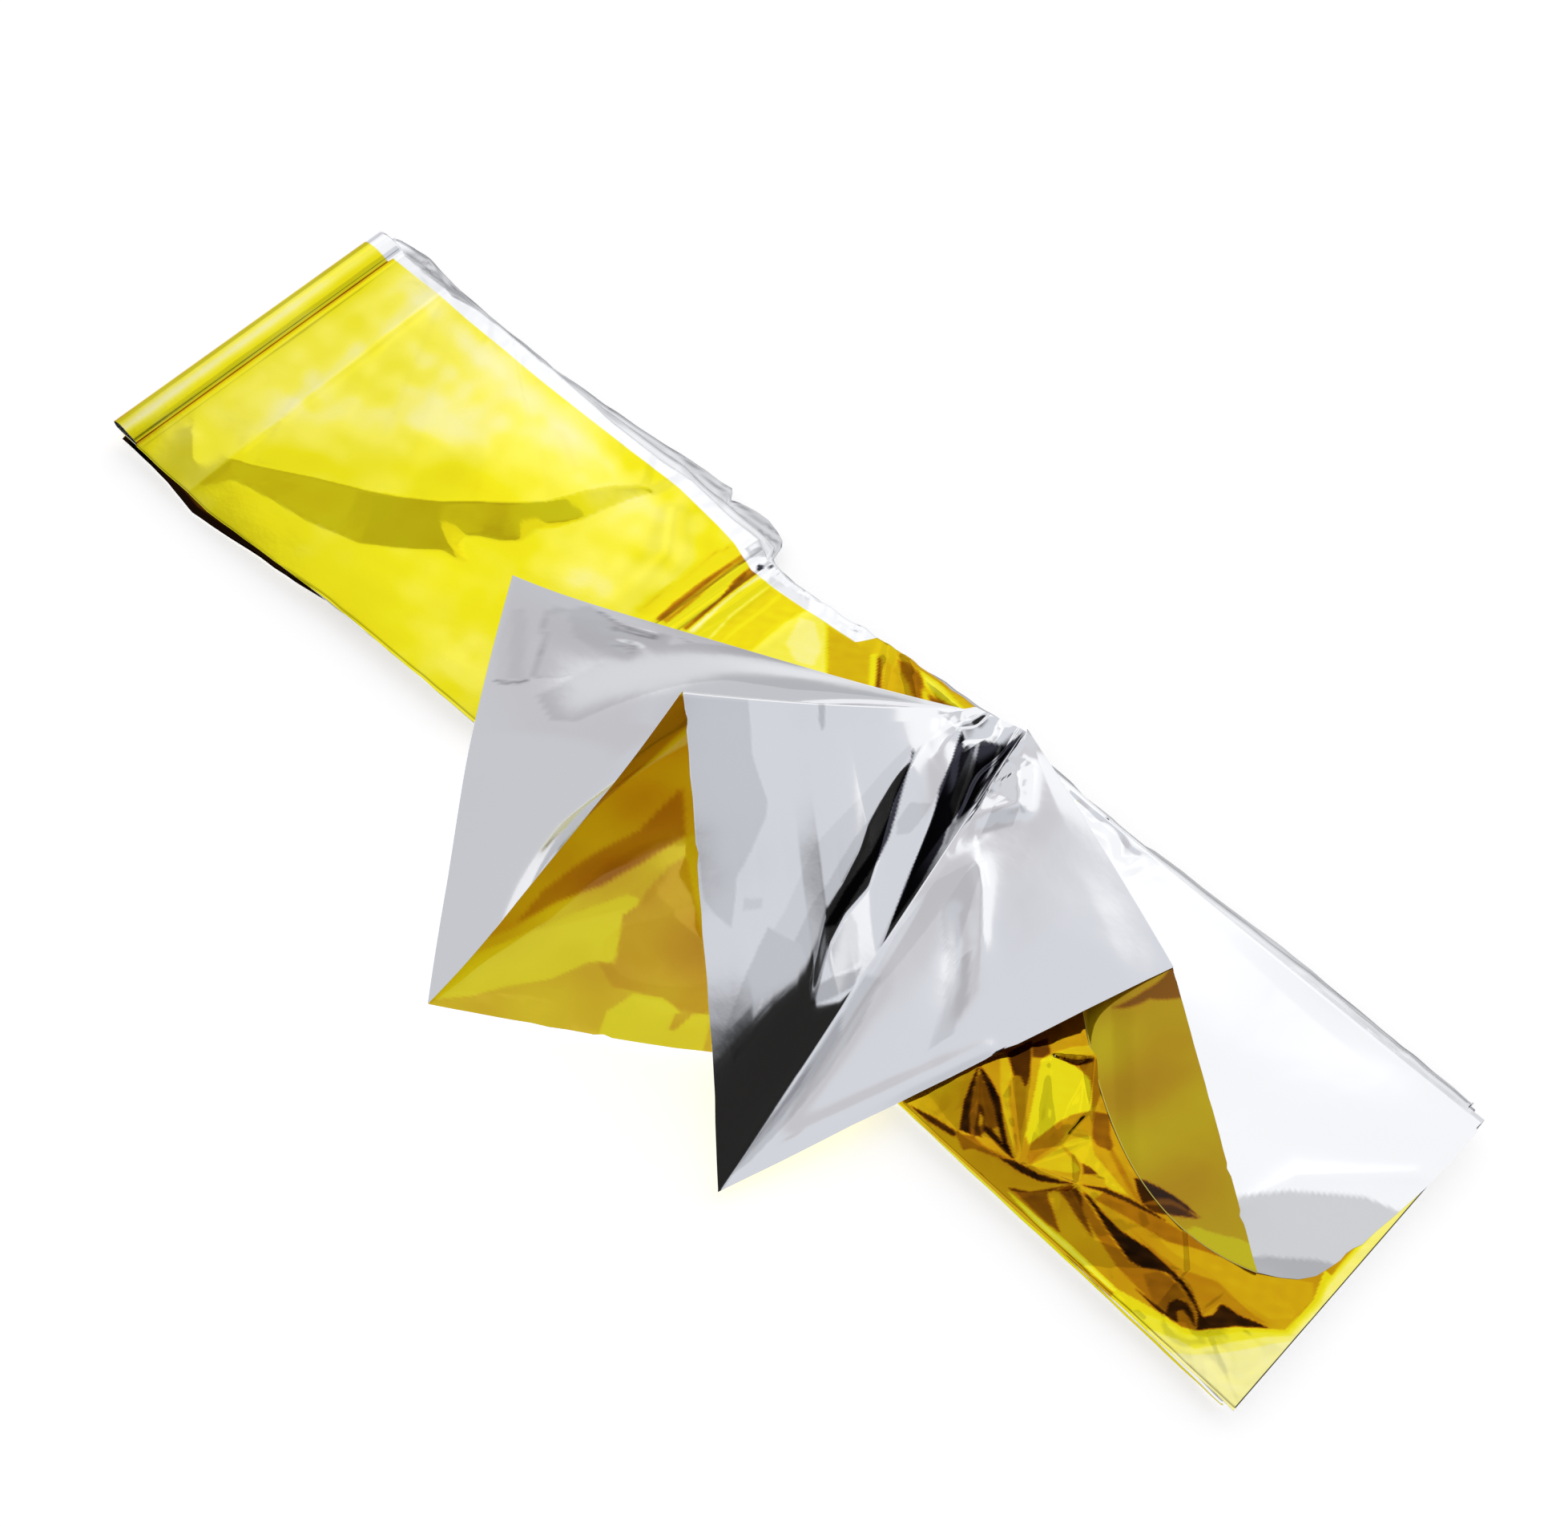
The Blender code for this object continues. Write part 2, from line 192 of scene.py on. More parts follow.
# %% The strip's tables
RUNS = table("height start end", [
    (0.12, 348.0, 2.0),
    (1.30, 2.0, 352.0),
    (2.40, 352.0, 2.5),
    (3.40, 2.5, 350.5),
    (4.30, 350.5, 9.0),
    (TOP_RUN, 9.0, 355.0),
])
EDGES = table("run stations low high", [
    (0, "0, 20, 31, 43, 65, 90, 180, 265, 355", "1.2, 1.0, 0.2, 0.6, 3.4, 6.0, 7.4, 5.6, 1.6",
     "-0.6, -0.6, -0.8, -0.9, -1, -1, -2.6, -1.0, -0.7"),
    (1, "0, 6, 13, 20, 31, 43, 53, 65, 78, 100, 180, 265, 355",
     "0.2, 0.2, 0.3, -0.1, -1.8, -0.3, 1.1, 2.3, 4.3, 4.9, 5.6, 3.3, 0.5",
     "0.6, 1.0, 1.4, 1.4, 1.2, 1.0, 0.9, 0.8, 0.7, 0.4, -2.2, -0.6, 0.1"),
    (2, "0, 2.7, 6.6, 12.4, 27, 39, 53, 66, 82, 93, 109, 119, 124, 140, 144, 150, 178, 194, 213, 262, 298, 342, 355",
     "1.4, 1.6, 1.8, 2.0, 2.4, 2.4, 2.6, 3.0, 4.2, 4.6, 4.8, 5, 5, 5, 5, 5, 5, 4.8, 4.6, 3.7, 2.6, 1.0, 0.2",
     "1.5, 4.8, 5.4, 5.9, 4.2, 3.5, 3.7, 3.1, 4.2, 4.6, 4.2, 3.0, 2.0, 1.6, -1.4, -3.6, -1.2, 0.6, 1.6, 0.9, 2.3, 1.5, 1.0"),
    (3, "0, 27, 60, 92, 108.6, 113.7, 118.6, 123.4, 123.8, 127, 132, 135.6, 139.6, 143.2, 143.8, 148, 156.7, "
        "165.4, 173.8, 183, 193.7, 212.7, 237, 253, 262, 276, 298, 342, 355",
     "0.6, 0.8, 2.7, 4.0, 4.2, 4.2, 4.3, 4.4, 4.4, 4.4, 4.4, 4.4, 4.5, 4.5, 4.5, 4.5, 4.5, 4.4, 4.3, 4.2, 4.1, 3.8, "
     "3.2, 2.9, 2.7, 2.5, 2.1, 1.1, 0.8",
     "1.2, 2.6, 2.4, 4.6, 6.3, 6.8, 6.9, 7.4, 4.1, 5.4, 6.5, 6.8, 5.8, 4.2, -0.5, -3.2, -2.1, -2.5, -1.2, -0.2, 1.4, "
     "3.2, 1.9, -0.6, 1.4, 1.8, 2.5, 1.6, 1.1"),
    (4, "0, 30, 60, 96, 110, 118, 130, 139, 143, 144, 151, 178, 213, 265, 300, 355",
     "0.4, 0.2, 2.0, 3.4, 3.7, 3.8, 4.0, 4.2, 4.2, 4.2, 4.2, 4.1, 3.8, 3.0, 2.0, 0.4",
     "0.8, 1.9, 1.7, 2.6, 3.6, 2.6, 2.4, 2.1, 1.4, -1.6, -2.8, -1.6, 1.2, 0.5, 1.2, 0.4"),
    (5, "0, 9, 18, 29, 37, 49, 60, 75, 88, 106, 115, 131, 139, 145, 156, 178, 196, 213, 240, 265, 355",
     "0.0, -0.1, -0.4, -0.4, -0.8, 0.1, 0.8, 2.4, 2.9, 3.4, 3.6, 3.9, 4.0, 4.0, 4.1, 4.4, 4.3, 4.0, 3.2, 2.2, 0.0",
     "0.2, 0.9, 0.3, -0.2, 1.2, 1.2, 1.0, 0.6, -0.2, 0.1, 1.0, -0.2, -0.2, -3.4, -3.8, -1.0, -0.1, 1.4, 0.2, "
     "-1.0, -1.0"),
])
BARE = {                                          # where the top layer's lacquer ends and the bare edge starts
    "stations": "0, 30, 38, 68, 88, 100, 114, 128, 135.5, 143.6, 146, 161, 176, 182, 215, 225, 355",
    "bare": "85.4, 85, 84.5, 84, 84.2, 84.4, 84.8, 83.5, 82.4, 79.6, 79.4, 80.2, 81.9, 92, 92, 83, 83",
}
CUFF = {"width": 9.0, "nose": 2.6, "height": 3.3, "crown": 1.35, "step": 1.2}
TOP_FOLDS = table("path heights left right sharp", [
    # the second crease beside the cuff
    (((29.4, 0), (28.0, 40), (26.5, 88)), (0.20, 0.30, 0.36), (7.0, 7.0, 6.0), (1.4, 1.4, 1.4), 1),
    (((16, 12), (23, 6.4)), (0.3, 0.3), (3, 3), (2, 2), 1),
    (((118, 78), (126, 68), (128, 40)), (0.3, 0.4, 0.2), (3, 4, 6), (3, 4, 6), 0),
    # the bundle of sharp creases where the fan pulls at the strip
    (((142.2, 88), (140.4, 68), (138.2, 44)), (0.5, 0.5, 0.3), (1.3, 1.2, 1.2), (0.9, 0.9, 0.9), 1),
    (((146.4, 88), (145.0, 68), (143.2, 44)), (0.6, 0.5, 0.3), (0.9, 0.9, 0.9), (0.9, 0.9, 0.9), 1),
    (((149.0, 86), (147.6, 68), (145.0, 48)), (0.4, 0.4, 0.1), (0.9, 0.9, 0.9), (1.5, 1.5, 1.5), 1),
    # the corner below the flap: a terrace that breaks off along a curve
    (((303.2, 14.6), (313.1, 14.9), (323.9, 15.6), (331.8, 13.8), (338.0, 10.5)), (0.0, 0.8, 1.1, 1.0, 0.4),
     (6, 10, 12, 10, 6), (3, 4.5, 5.0, 4.0, 3), 1),
    (((338.4, 9.0), (343.7, 12.5), (351.0, 18.0)), (0.10, 0.18, 0.04), (3, 4, 3), (1.5, 2, 1), 1),
    # folds round the pinch
    (((164.5, 84), (161.0, 62)), (0.5, 0.4), (6.0, 5.0), (6.0, 6.0), 0),
    (((181.5, 88), (190.5, 74)), (0.5, 0.5), (0.9, 0.8), (1.2, 1.2), 1),
    (((187.5, 88), (199.7, 78)), (0.6, 0.8), (2.0, 2.0), (1.6, 1.6), 0),
    (((190.0, 86), (206.6, 85), (216.0, 86)), (0.3, 0.8, 0.9), (1.6, 1.6, 1.6), (1.2, 1.2, 1.2), 1),
])
BAND_TOP = outline("29.2 3.7, 29.4 13.2, 31.6 14.7, 34.6 15.6, 40.3 18.6, 50 24.2, 59.4 28.9, 68.1 34.2, 76.1 40.1, "
                   "83.1 46.9, 90.2 53.6, 94.2 58.1, 96.8 63, 98.6 67.4, 101.9 72.6, 107 78.3, 109 79.5, 111.5 79")
BAND_RISES = (0, 0.3, 0.5, 0.6, 0.9, 1.4, 1.6, 1.6, 1.6, 1.6, 1.4, 1.2, 1.1, 0.9, 0.7, 0.4, 0.2, 0)
BAND_FALLS = (3, 3, 4, 6, 10, 16, 24, 30, 30, 30, 30, 30, 30, 30, 30, 30, 30, 30)
BAND_FOOT = outline("30.3 2.8, 32.1 6, 34.8 10.6, 41.1 12.1, 47.6 13.4, 55.4 14.5, 61.6 16.1, 66.5 17.7, 70.8 18.8, "
                    "73.8 21.1, 78.7 24.6, 83.8 29, 86.5 31.6, 91.1 32.3, 95 32.7, 91.6 33.4, 87.5 35.7, 86.8 38.3, "
                    "89.5 40.9, 94.4 43.5, 97.6 46.6, 98 49.3, 98 54.4, 101.6 58.3, 104 62.2, 105.9 68.7, "
                    "108.3 74.9, 110.1 78.4")
print("the strip has", len(RUNS), "layers over", RUNS[-1]["height"], "mm")

# %% [markdown]
# Where the film was crushed it broke into flat facets that meet in star-shaped creases. A few named points with
# heights, joined into triangles, give exactly that: each facet is a plane, and each edge a crease.

# %% The crushed corner
CRUSH_POINTS = {                                  # x, y and height over the top layer
    "r0": (257.6, 1.0, 0), "r1": (268.2, 1.0, 0), "r2": (279.1, 1.0, 0), "r3": (291.6, 1.0, 0), "r4": (303.1, 1.0, 0),
    "r5": (313.1, 1.2, 0), "r6": (330.0, 2.0, 0), "u0": (258.0, 10.1, 0), "u1": (266.5, 23.0, 0.8),
    "u2": (265.0, 30.1, 0), "u3": (271.2, 36.0, 0.8), "u4": (274.2, 43.3, 0), "u5": (277.5, 50.1, 0),
    "e1": (286.6, 47.4, 0), "e2": (296.0, 40.0, 0), "e3": (304.0, 33.0, 0), "e4": (318.0, 29.0, 0),
    "v": (269.1, 19.6, 3.2), "w1": (275.9, 5.9, 0.5), "wi": (279.0, 8.0, 0.3), "wa": (273.8, 14.3, 1.0),
    "wb": (282.4, 9.6, 0.5), "w2": (288.7, 8.7, 0.8), "wm": (277.2, 17.3, 3.0),
    "c1": (271.6, 27.2, 1.2), "c2": (273.9, 31.2, 2.4), "c3": (276.1, 22.5, 1.5), "c4": (277.7, 26.7, 2.6),
    "c6": (289.7, 9.8, 0.8), "s": (278.3, 32.6, 2.6), "s2": (283.9, 40.8, 1.0), "s3": (285.7, 38.7, 2.4),
    "s4": (284.0, 35.2, 0.5), "t1": (286.6, 34.4, 0.6), "t2": (292.9, 28.6, 1.1), "t3": (292.3, 26.2, 1.9),
    "t4": (290.4, 20.7, 1.7), "t5": (289.4, 12.7, 0.7), "r": (293.4, 18.2, 0.6), "q": (291.7, 10.4, 1.9),
    "z": (300.0, 17.1, 2.3), "z1": (296.1, 19.1, 1.5), "z3": (300.5, 14.3, 1.3), "p": (301.5, 13.8, 2.7),
    "p2": (306.3, 17.9, 2.2), "p3": (304.2, 18.7, 1.4), "g1": (297.4, 24.1, 0.7), "g3": (310.8, 19.8, 1.4),
    "g4": (301.5, 26.0, 0.5), "g5": (293.6, 29.3, 0.3), "g6": (297.0, 30.1, 0.3), "g7": (291.4, 34.8, 0.4),
    "m2": (320.0, 20.9, 0.6), "n3": (281.0, 6.6, 0.8), "n2": (292.8, 4.0, 0.4), "n1": (299.2, 9.4, 0.7),
    "n5": (305.7, 3.9, 0.3), "o2": (311.6, 7.2, 0.8), "o1": (300.9, 11.7, 1.2), "x1": (330.0, 16.0, 0),
}
CRUSH_FACETS = (
    "c4 s c6, s t5 c6, s t4 t5, s t1 t4, t1 t2 t3, t1 t3 t4, v c3 wm, s s2 s3, p2 g3 p3, wm c3 c6, "
    "wm c6 w2, s s4 t1, r q z1, z1 q z3, r g1 z1, r t2 g1, z g1 z1, z g3 g1, z p3 g3, n1 n5 o2, q n2 n1, "
    "u0 r0 r1, u0 r1 w1, u0 w1 v, u0 v u1, u1 v c1, u1 c1 u2, v c1 c3, u2 c2 u3, u3 u4 s, u4 s2 s, "
    "u4 u5 s2, u5 e1 s2, z p3 p, p3 p2 p, t5 q r, t5 c6 q, g1 g4 g3, t2 g5 g1, n3 r3 n2, n3 n2 q, "
    "w1 n3 wi, p p2 m2, p2 g3 m2, p m2 o2, n1 o2 o1, wb n3 w2, w2 n3 q, c6 w2 q, s3 t1 s4, s3 t2 t1, "
    "s2 e1 s3, s3 e1 g7, s3 g7 t2, g7 g5 t2, g4 e4 m2, g4 m2 g3, g6 e3 g4, g4 e3 e4, g7 e2 g6, g7 e1 e2, "
    "e2 e3 g6, m2 x1 o2, m2 e4 x1, z p z3, r1 r2 w1, wa wi wb, c1 c2 c3, c3 c2 c4, c3 c4 c6, u2 c1 c2, "
    "t5 t4 r, t4 t3 r, g5 g6 g4, g5 g4 g1, n2 r3 r4, n2 r4 n5, n2 n5 n1, n5 r4 r5, n5 r5 o2, wi n3 wb, "
    "o2 r5 x1, r5 r6 x1, v w1 wa, w1 wi wa, v wa wb, v wb w2, v w2 wm, u3 s c2, c2 s c4, t3 t2 r, "
    "z1 z3 z, q z3 p, q n1 p, n1 o1 p, o1 o2 p, r2 n3 w1, r2 r3 n3, g7 g6 g5"
)
CRUSH_SHARE = 0.55


def crushed(x, y, height):
    """Replaces the height by that of the facet over each point. A point's weights in a triangle add up to 1 and
    none is negative."""
    for facet in CRUSH_FACETS.split(", "):
        (ax, ay, az), (bx, by, bz), (cx, cy, cz) = (CRUSH_POINTS[name] for name in facet.split())
        area = (by - cy) * (ax - cx) + (cx - bx) * (ay - cy)
        first = ((by - cy) * (x - cx) + (cx - bx) * (y - cy)) / area
        second = ((cy - ay) * (x - cx) + (ax - cx) * (y - cy)) / area
        third = 1 - first - second
        within = (first >= -1e-9) & (second >= -1e-9) & (third >= -1e-9)
        height = np.where(within, CRUSH_SHARE * (first * az + second * bz + third * cz), height)
    return height


# %% [markdown]
# The lacquer is painted deeper or paler from facet to facet: painted reflections, because each facet mirrors
# another part of its neighbours. Outlines with a tone from 0, pale lemon, to 1, near black, say which facet looks how.

# %% Painted reflections of the crushed corner
CORNER_PAINTED_LIGHT = table("place value corners", [
    ("column left, lit", 0.56, "270.9 24.6, 271.1 26.6, 275.3 23.8, 276.6 20.8, 288.3 9.5, 280.6 14.7, "
        "276 18.8"),
    ("column top, brown", 0.92, "271.2 26.5, 274.5 24.5, 276.1 23.5, 276.9 24.3, 279.6 23, 278.6 25.6, "
        "273.3 32.4"),
    ("column, amber", 0.69, "276.1 23.8, 276.8 24.2, 279.6 22.9, 283.3 18.7, 287.1 12.6, 288.8 9.1, "
        "284.8 13.2, 279.7 18.8"),
    ("beside the column, olive", 0.61, "275.9 29.1, 277.8 30.7, 280 26.2, 283.2 20.7, 286.6 14.9, 289.2 9.4, "
        "288.8 9.1, 287.2 12.7, 282.8 19.7, 278.6 25.6"),
    ("big bright facet", 0.44, "278.6 32.7, 277.7 30.5, 279 28.1, 283 21.3, 286.6 14.9, 288.4 13.9, "
        "288.8 16.7, 289.8 22.9, 292.9 29.1, 290.2 32.5, 288.3 34.2, 285.9 34.8, 283.6 34.6, 280.7 33.5"),
    ("top, dark olive", 0.9, "273.8 31.8, 275.3 35.4, 278.3 32.8, 277.8 30.7, 276 29.4"),
    ("top right", 0.66, "274.6 36.2, 275.7 40.9, 277.9 46.8, 281.3 43.5, 284 41.7, 280.5 37.5, 278.4 32.9"),
    ("lit sliver", 0.55, "278.4 32.9, 280.6 37.4, 283.8 41.5, 285 40.3, 285.1 39.1, 281.8 36"),
    ("dark sliver", 0.97, "279.9 33.8, 282.6 35.8, 285.7 38.8, 286.1 37.6, 284.6 35.6, 282 34.2"),
    ("right of the facet", 0.74, "285.8 38.7, 288.5 38.8, 292.2 35.2, 292.9 30.9, 292.8 29.4, 290.2 32.5, "
        "288.3 34.2, 285.9 34.8, 282.5 34.4, 284.6 35.6, 286.2 37.5"),
    ("amber facet", 0.74, "288.5 14.3, 288.8 16.8, 289.9 22.8, 292.4 21.4, 292.9 19, 291.6 13.4, "
        "291.7 10.4, 289.8 11.7"),
    ("lit facet above it", 0.69, "290.3 22.3, 290.5 25, 292.9 28.9, 292.8 24.8, 292.4 21.2"),
    ("lit star left", 0.53, "291.7 10.4, 292.9 14.8, 293.5 18.4, 300.2 17.1, 299.7 15.8, 296.6 13.4"),
    ("lit star right", 0.53, "293.4 19, 294 21.2, 296.6 24.6, 300 21.9, 311.1 19.8, 307.8 18.2, 303.7 18.2, "
        "299.7 18.2"),
    ("brown bit in the star", 0.9, "299.4 18.4, 301.1 18.9, 303.4 18.9, 301.1 16.7"),
    ("loop", 0.62, "300.9 16.2, 304.1 19, 305.5 18.8, 305.7 17.1, 302.4 14.5, 301.4 14.1"),
    ("brown by the lining", 0.85, "293.3 29.5, 294.7 30.3, 296.3 31.3, 299.6 27.5, 301.4 26.4, 302.1 25.1, "
        "298.9 23.9, 297 24.6"),
    ("lit by the lining", 0.67, "291.5 34.9, 293.2 34, 295.8 31.6, 294.3 30.7, 292.2 32.3"),
    ("amber strip to the point", 0.74, "301.5 25.8, 305.6 24.2, 309.9 22.2, 313.9 20.5, 313 20, 306.2 22.4, "
        "302.2 24.4"),
    ("ring, black left", 0.99, "268.9 20, 270 16.6, 272.1 11.5, 275.5 6.3, 277.9 7.1, 274.7 10.4, "
        "272.4 13.9, 270.2 17.8"),
    ("ring, black right", 0.99, "269 19.8, 270.9 19.6, 273.8 18.8, 277.4 17.2, 281.2 13.9, 284.8 11.1, "
        "288.7 9, 287 9.1, 284.5 10.1, 281.1 12.4, 277.9 14.9, 274.1 17, 270.7 18.7"),
    ("ring, inside", 0.85, "270.3 17.9, 272.4 13.9, 274.7 10.4, 277.9 7.1, 278.8 7.3, 281.1 12.4, "
        "277.9 14.9, 274.1 17, 270.7 18.6"),
    ("ring, small", 0.95, "274.4 13.8, 276.2 13.2, 278.4 11.2, 278.1 9.7, 280.2 8.3, 278.6 7.7, 277.4 9.1, "
        "276.4 11"),
    ("ring, small gold", 0.62, "276 12.3, 277.5 11.7, 278.3 10.5, 277.9 9.8"),
    ("ring, foot", 0.98, "278.7 10.7, 280.5 11.1, 283.6 10.5, 287 9.1, 285.2 9.3, 281.2 9.6, 279.2 9.8"),
    ("left sweep, black", 0.98, "281.2 7, 285.7 8, 289.1 9.1, 294.2 10.3, 298.7 12.3, 301.4 13.8, "
        "298.8 11.6, 295.2 9.2, 291.4 7.9, 286.4 7.3, 283.6 6.8, 281.8 6.3"),
    ("left sweep, bright below", 0.64, "284.1 6.2, 287.6 6.5, 292.1 7.1, 295.6 8.7, 299.3 11.6, 295.1 6.4, "
        "291.2 4.5, 286.8 4.6"),
    ("left sweep, amber above", 0.81, "275.9 5.6, 278.8 7.3, 281.5 7.1, 288.2 8.7, 285.8 7.2, 281.6 5.5, "
        "277.6 4.4"),
    ("second sweep", 0.91, "291.3 3.7, 295.3 6.2, 298 9.6, 301.3 13.9, 298.4 9.1, 295.7 5.8, 292.6 3.7"),
    ("orange below", 0.86, "293.1 3.8, 298 8.9, 298.7 8, 301.4 6.5, 305.9 3.8, 302.5 3.5, 297.5 3.7"),
    ("lit bit", 0.61, "298.3 8.4, 299.8 10.3, 301.1 9.6, 302.3 7.4, 301.4 6.5"),
    ("short dark sweep", 0.87, "299.8 10.4, 301.2 12.6, 306 10.9, 311.6 7.5, 306.2 8.7, 302.2 10"),
    ("short sweep, amber", 0.94, "301.2 12.6, 302.1 13.3, 304.7 12.4, 306 10.9"),
    ("amber below the sweep", 0.79, "303.5 13.1, 308.9 11.7, 316.8 9.6, 320.3 9, 325.6 11.9, 328.5 12.6, "
        "334.2 11.5, 337.3 9.9, 339.3 7.3, 336.4 5.8, 332.7 5.4, 325.8 5.9, 318.7 6.5, 311.8 8.4, "
        "306.6 10.2"),
    ("long sweep", 0.99, "303.1 13.5, 305.4 13.8, 308.9 13.2, 314.1 12.8, 318.9 13.5, 323.1 14.2, "
        "326.7 14.2, 330.2 13.5, 333.9 12.6, 337.4 10.8, 338.6 10.5, 339.7 12.2, 339.4 15.1, 341.6 16.1, "
        "344.4 16.2, 347.9 17.6, 351 18.2, 347.3 15.5, 344.6 13.7, 342.4 10, 339.3 7.3, 337.4 10.1, "
        "334.9 11.3, 331.2 12.3, 327.8 12.8, 325.6 11.9, 323 10, 320.1 9.2, 316.4 10.1, 311.8 11.2, "
        "307.7 12.5"),
    ("hook", 0.985, "331.6 8, 332.3 9.8, 334.4 10.4, 336.8 9.5, 338.9 7.5, 336.9 8.3, 334.6 8.8, 333.8 7.7, "
        "335.4 6.1, 334.8 4.9, 330.1 5, 324.3 5.6, 328.9 5.7, 332.5 5.9"),
    ("orange by the hook", 0.84, "323.8 9, 325.8 11.6, 328.8 12.3, 333.4 11.1, 332.3 9.8, 331.5 7.9, "
        "332.5 6, 328.6 6.1"),
    ("dark gold band", 0.775, "306.8 17.3, 313.8 19.7, 320 20.9, 330.6 23.3, 339.1 25.8, 332.5 22.4, "
        "324.1 18.1, 313.9 16, 306.4 14"),
    ("bright gold band", 0.6, "321.5 17, 328.1 20.5, 336.6 24.7, 340.1 25.4, 350.4 32.1, 352.7 29, "
        "351.9 22.8, 348.6 19.6, 341.2 18.8, 332.8 18.4, 325.2 16.8"),
    ("mid gold band", 0.72, "315.2 14.4, 323.9 14.7, 329.4 15.2, 335.8 18.2, 341.7 18.1, 345.8 18.1, "
        "349.4 18.7, 343.5 15.9, 339.2 15.4, 338.2 10.8, 330.5 13.9, 321.6 13.9"),
    ("crack, upper", 0.97, "309.2 23.9, 311.2 24.8, 314.5 25.6, 317.6 26.2, 321 26.5, 325 26.2, 319.7 25.7, "
        "317.8 25.2, 315.9 23.8, 314 20.6, 311.7 21.9"),
    ("crack, inside", 0.85, "314 20.6, 315.9 23.8, 317.8 25.2, 320.2 25.9, 323.6 25.8, 319 24.4, 317.1 23, "
        "314.4 20.4"),
    ("crack, lower", 0.93, "314.4 20.4, 317.1 23, 319 24.4, 325 26.2, 322.6 24.4, 317.1 20.8"),
    ("line to the flap", 0.96, "301.6 14, 306.5 17.6, 312.1 19.6, 316.7 20.6, 320.4 21.2, 316.2 19.8, "
        "311.8 18.5, 306.8 16.6"),
    ("black sliver at the edge", 0.96, "263.4 3, 269.3 4.6, 275.6 5.6, 275.9 4.3, 269.8 3.2"),
    ("orange at the edge", 0.8, "274.4 5.5, 277.8 6.4, 281.6 6.6, 279.1 3.4, 276.6 4.5"),
    ("edge stripe, pale", 0.25, "291.4 3.0, 308.4 3.2, 324.7 2.6, 324.7 1.8, 313.3 1.8, 300.2 2"),
    ("pale corner, start", 0.44, "322 2.8, 332.7 5.4, 336.4 5.8, 339.3 7.3, 344.4 13.2, 348.4 16.9, 352.4 20, 352.7 29, "
        "350.4 36, 360 36, 360 -7, 322 -7"),
    ("pale corner, middle", 0.30, "327 1.8, 334 4.6, 338.1 5.3, 341.8 8, 345.6 13, 349.1 16.5, 353 19.9, 353.4 29, "
        "352.4 36, 366 34, 366.8 -7, 327 -7"),
    ("pale corner, inner", 0.14, "332 0.8, 338.1 3.4, 341.3 4.1, 343.8 7.4, 347.2 12.1, 350.3 16.1, 353.8 19.9, "
        "354.2 36, 366 31.2, 366.8 -7, 332 -7"),
    ("pale end, start", 0.30, "352.2 34, 352.0 60, 353.5 72, 366 72, 366 30, 353.4 30"),
    ("pale end", 0.12, "352.9 34, 352.8 60, 354.2 74, 366 74, 366 30, 354 30"),
    ("pale corner", 0.03, "337 -0.4, 341 2, 345.2 6.2, 348.9 11.1, 352 15.6, 354.6 19, 354.8 30, 366 31.2, "
        "366.8 0.6, 355.8 -7, 337 -7"),
])
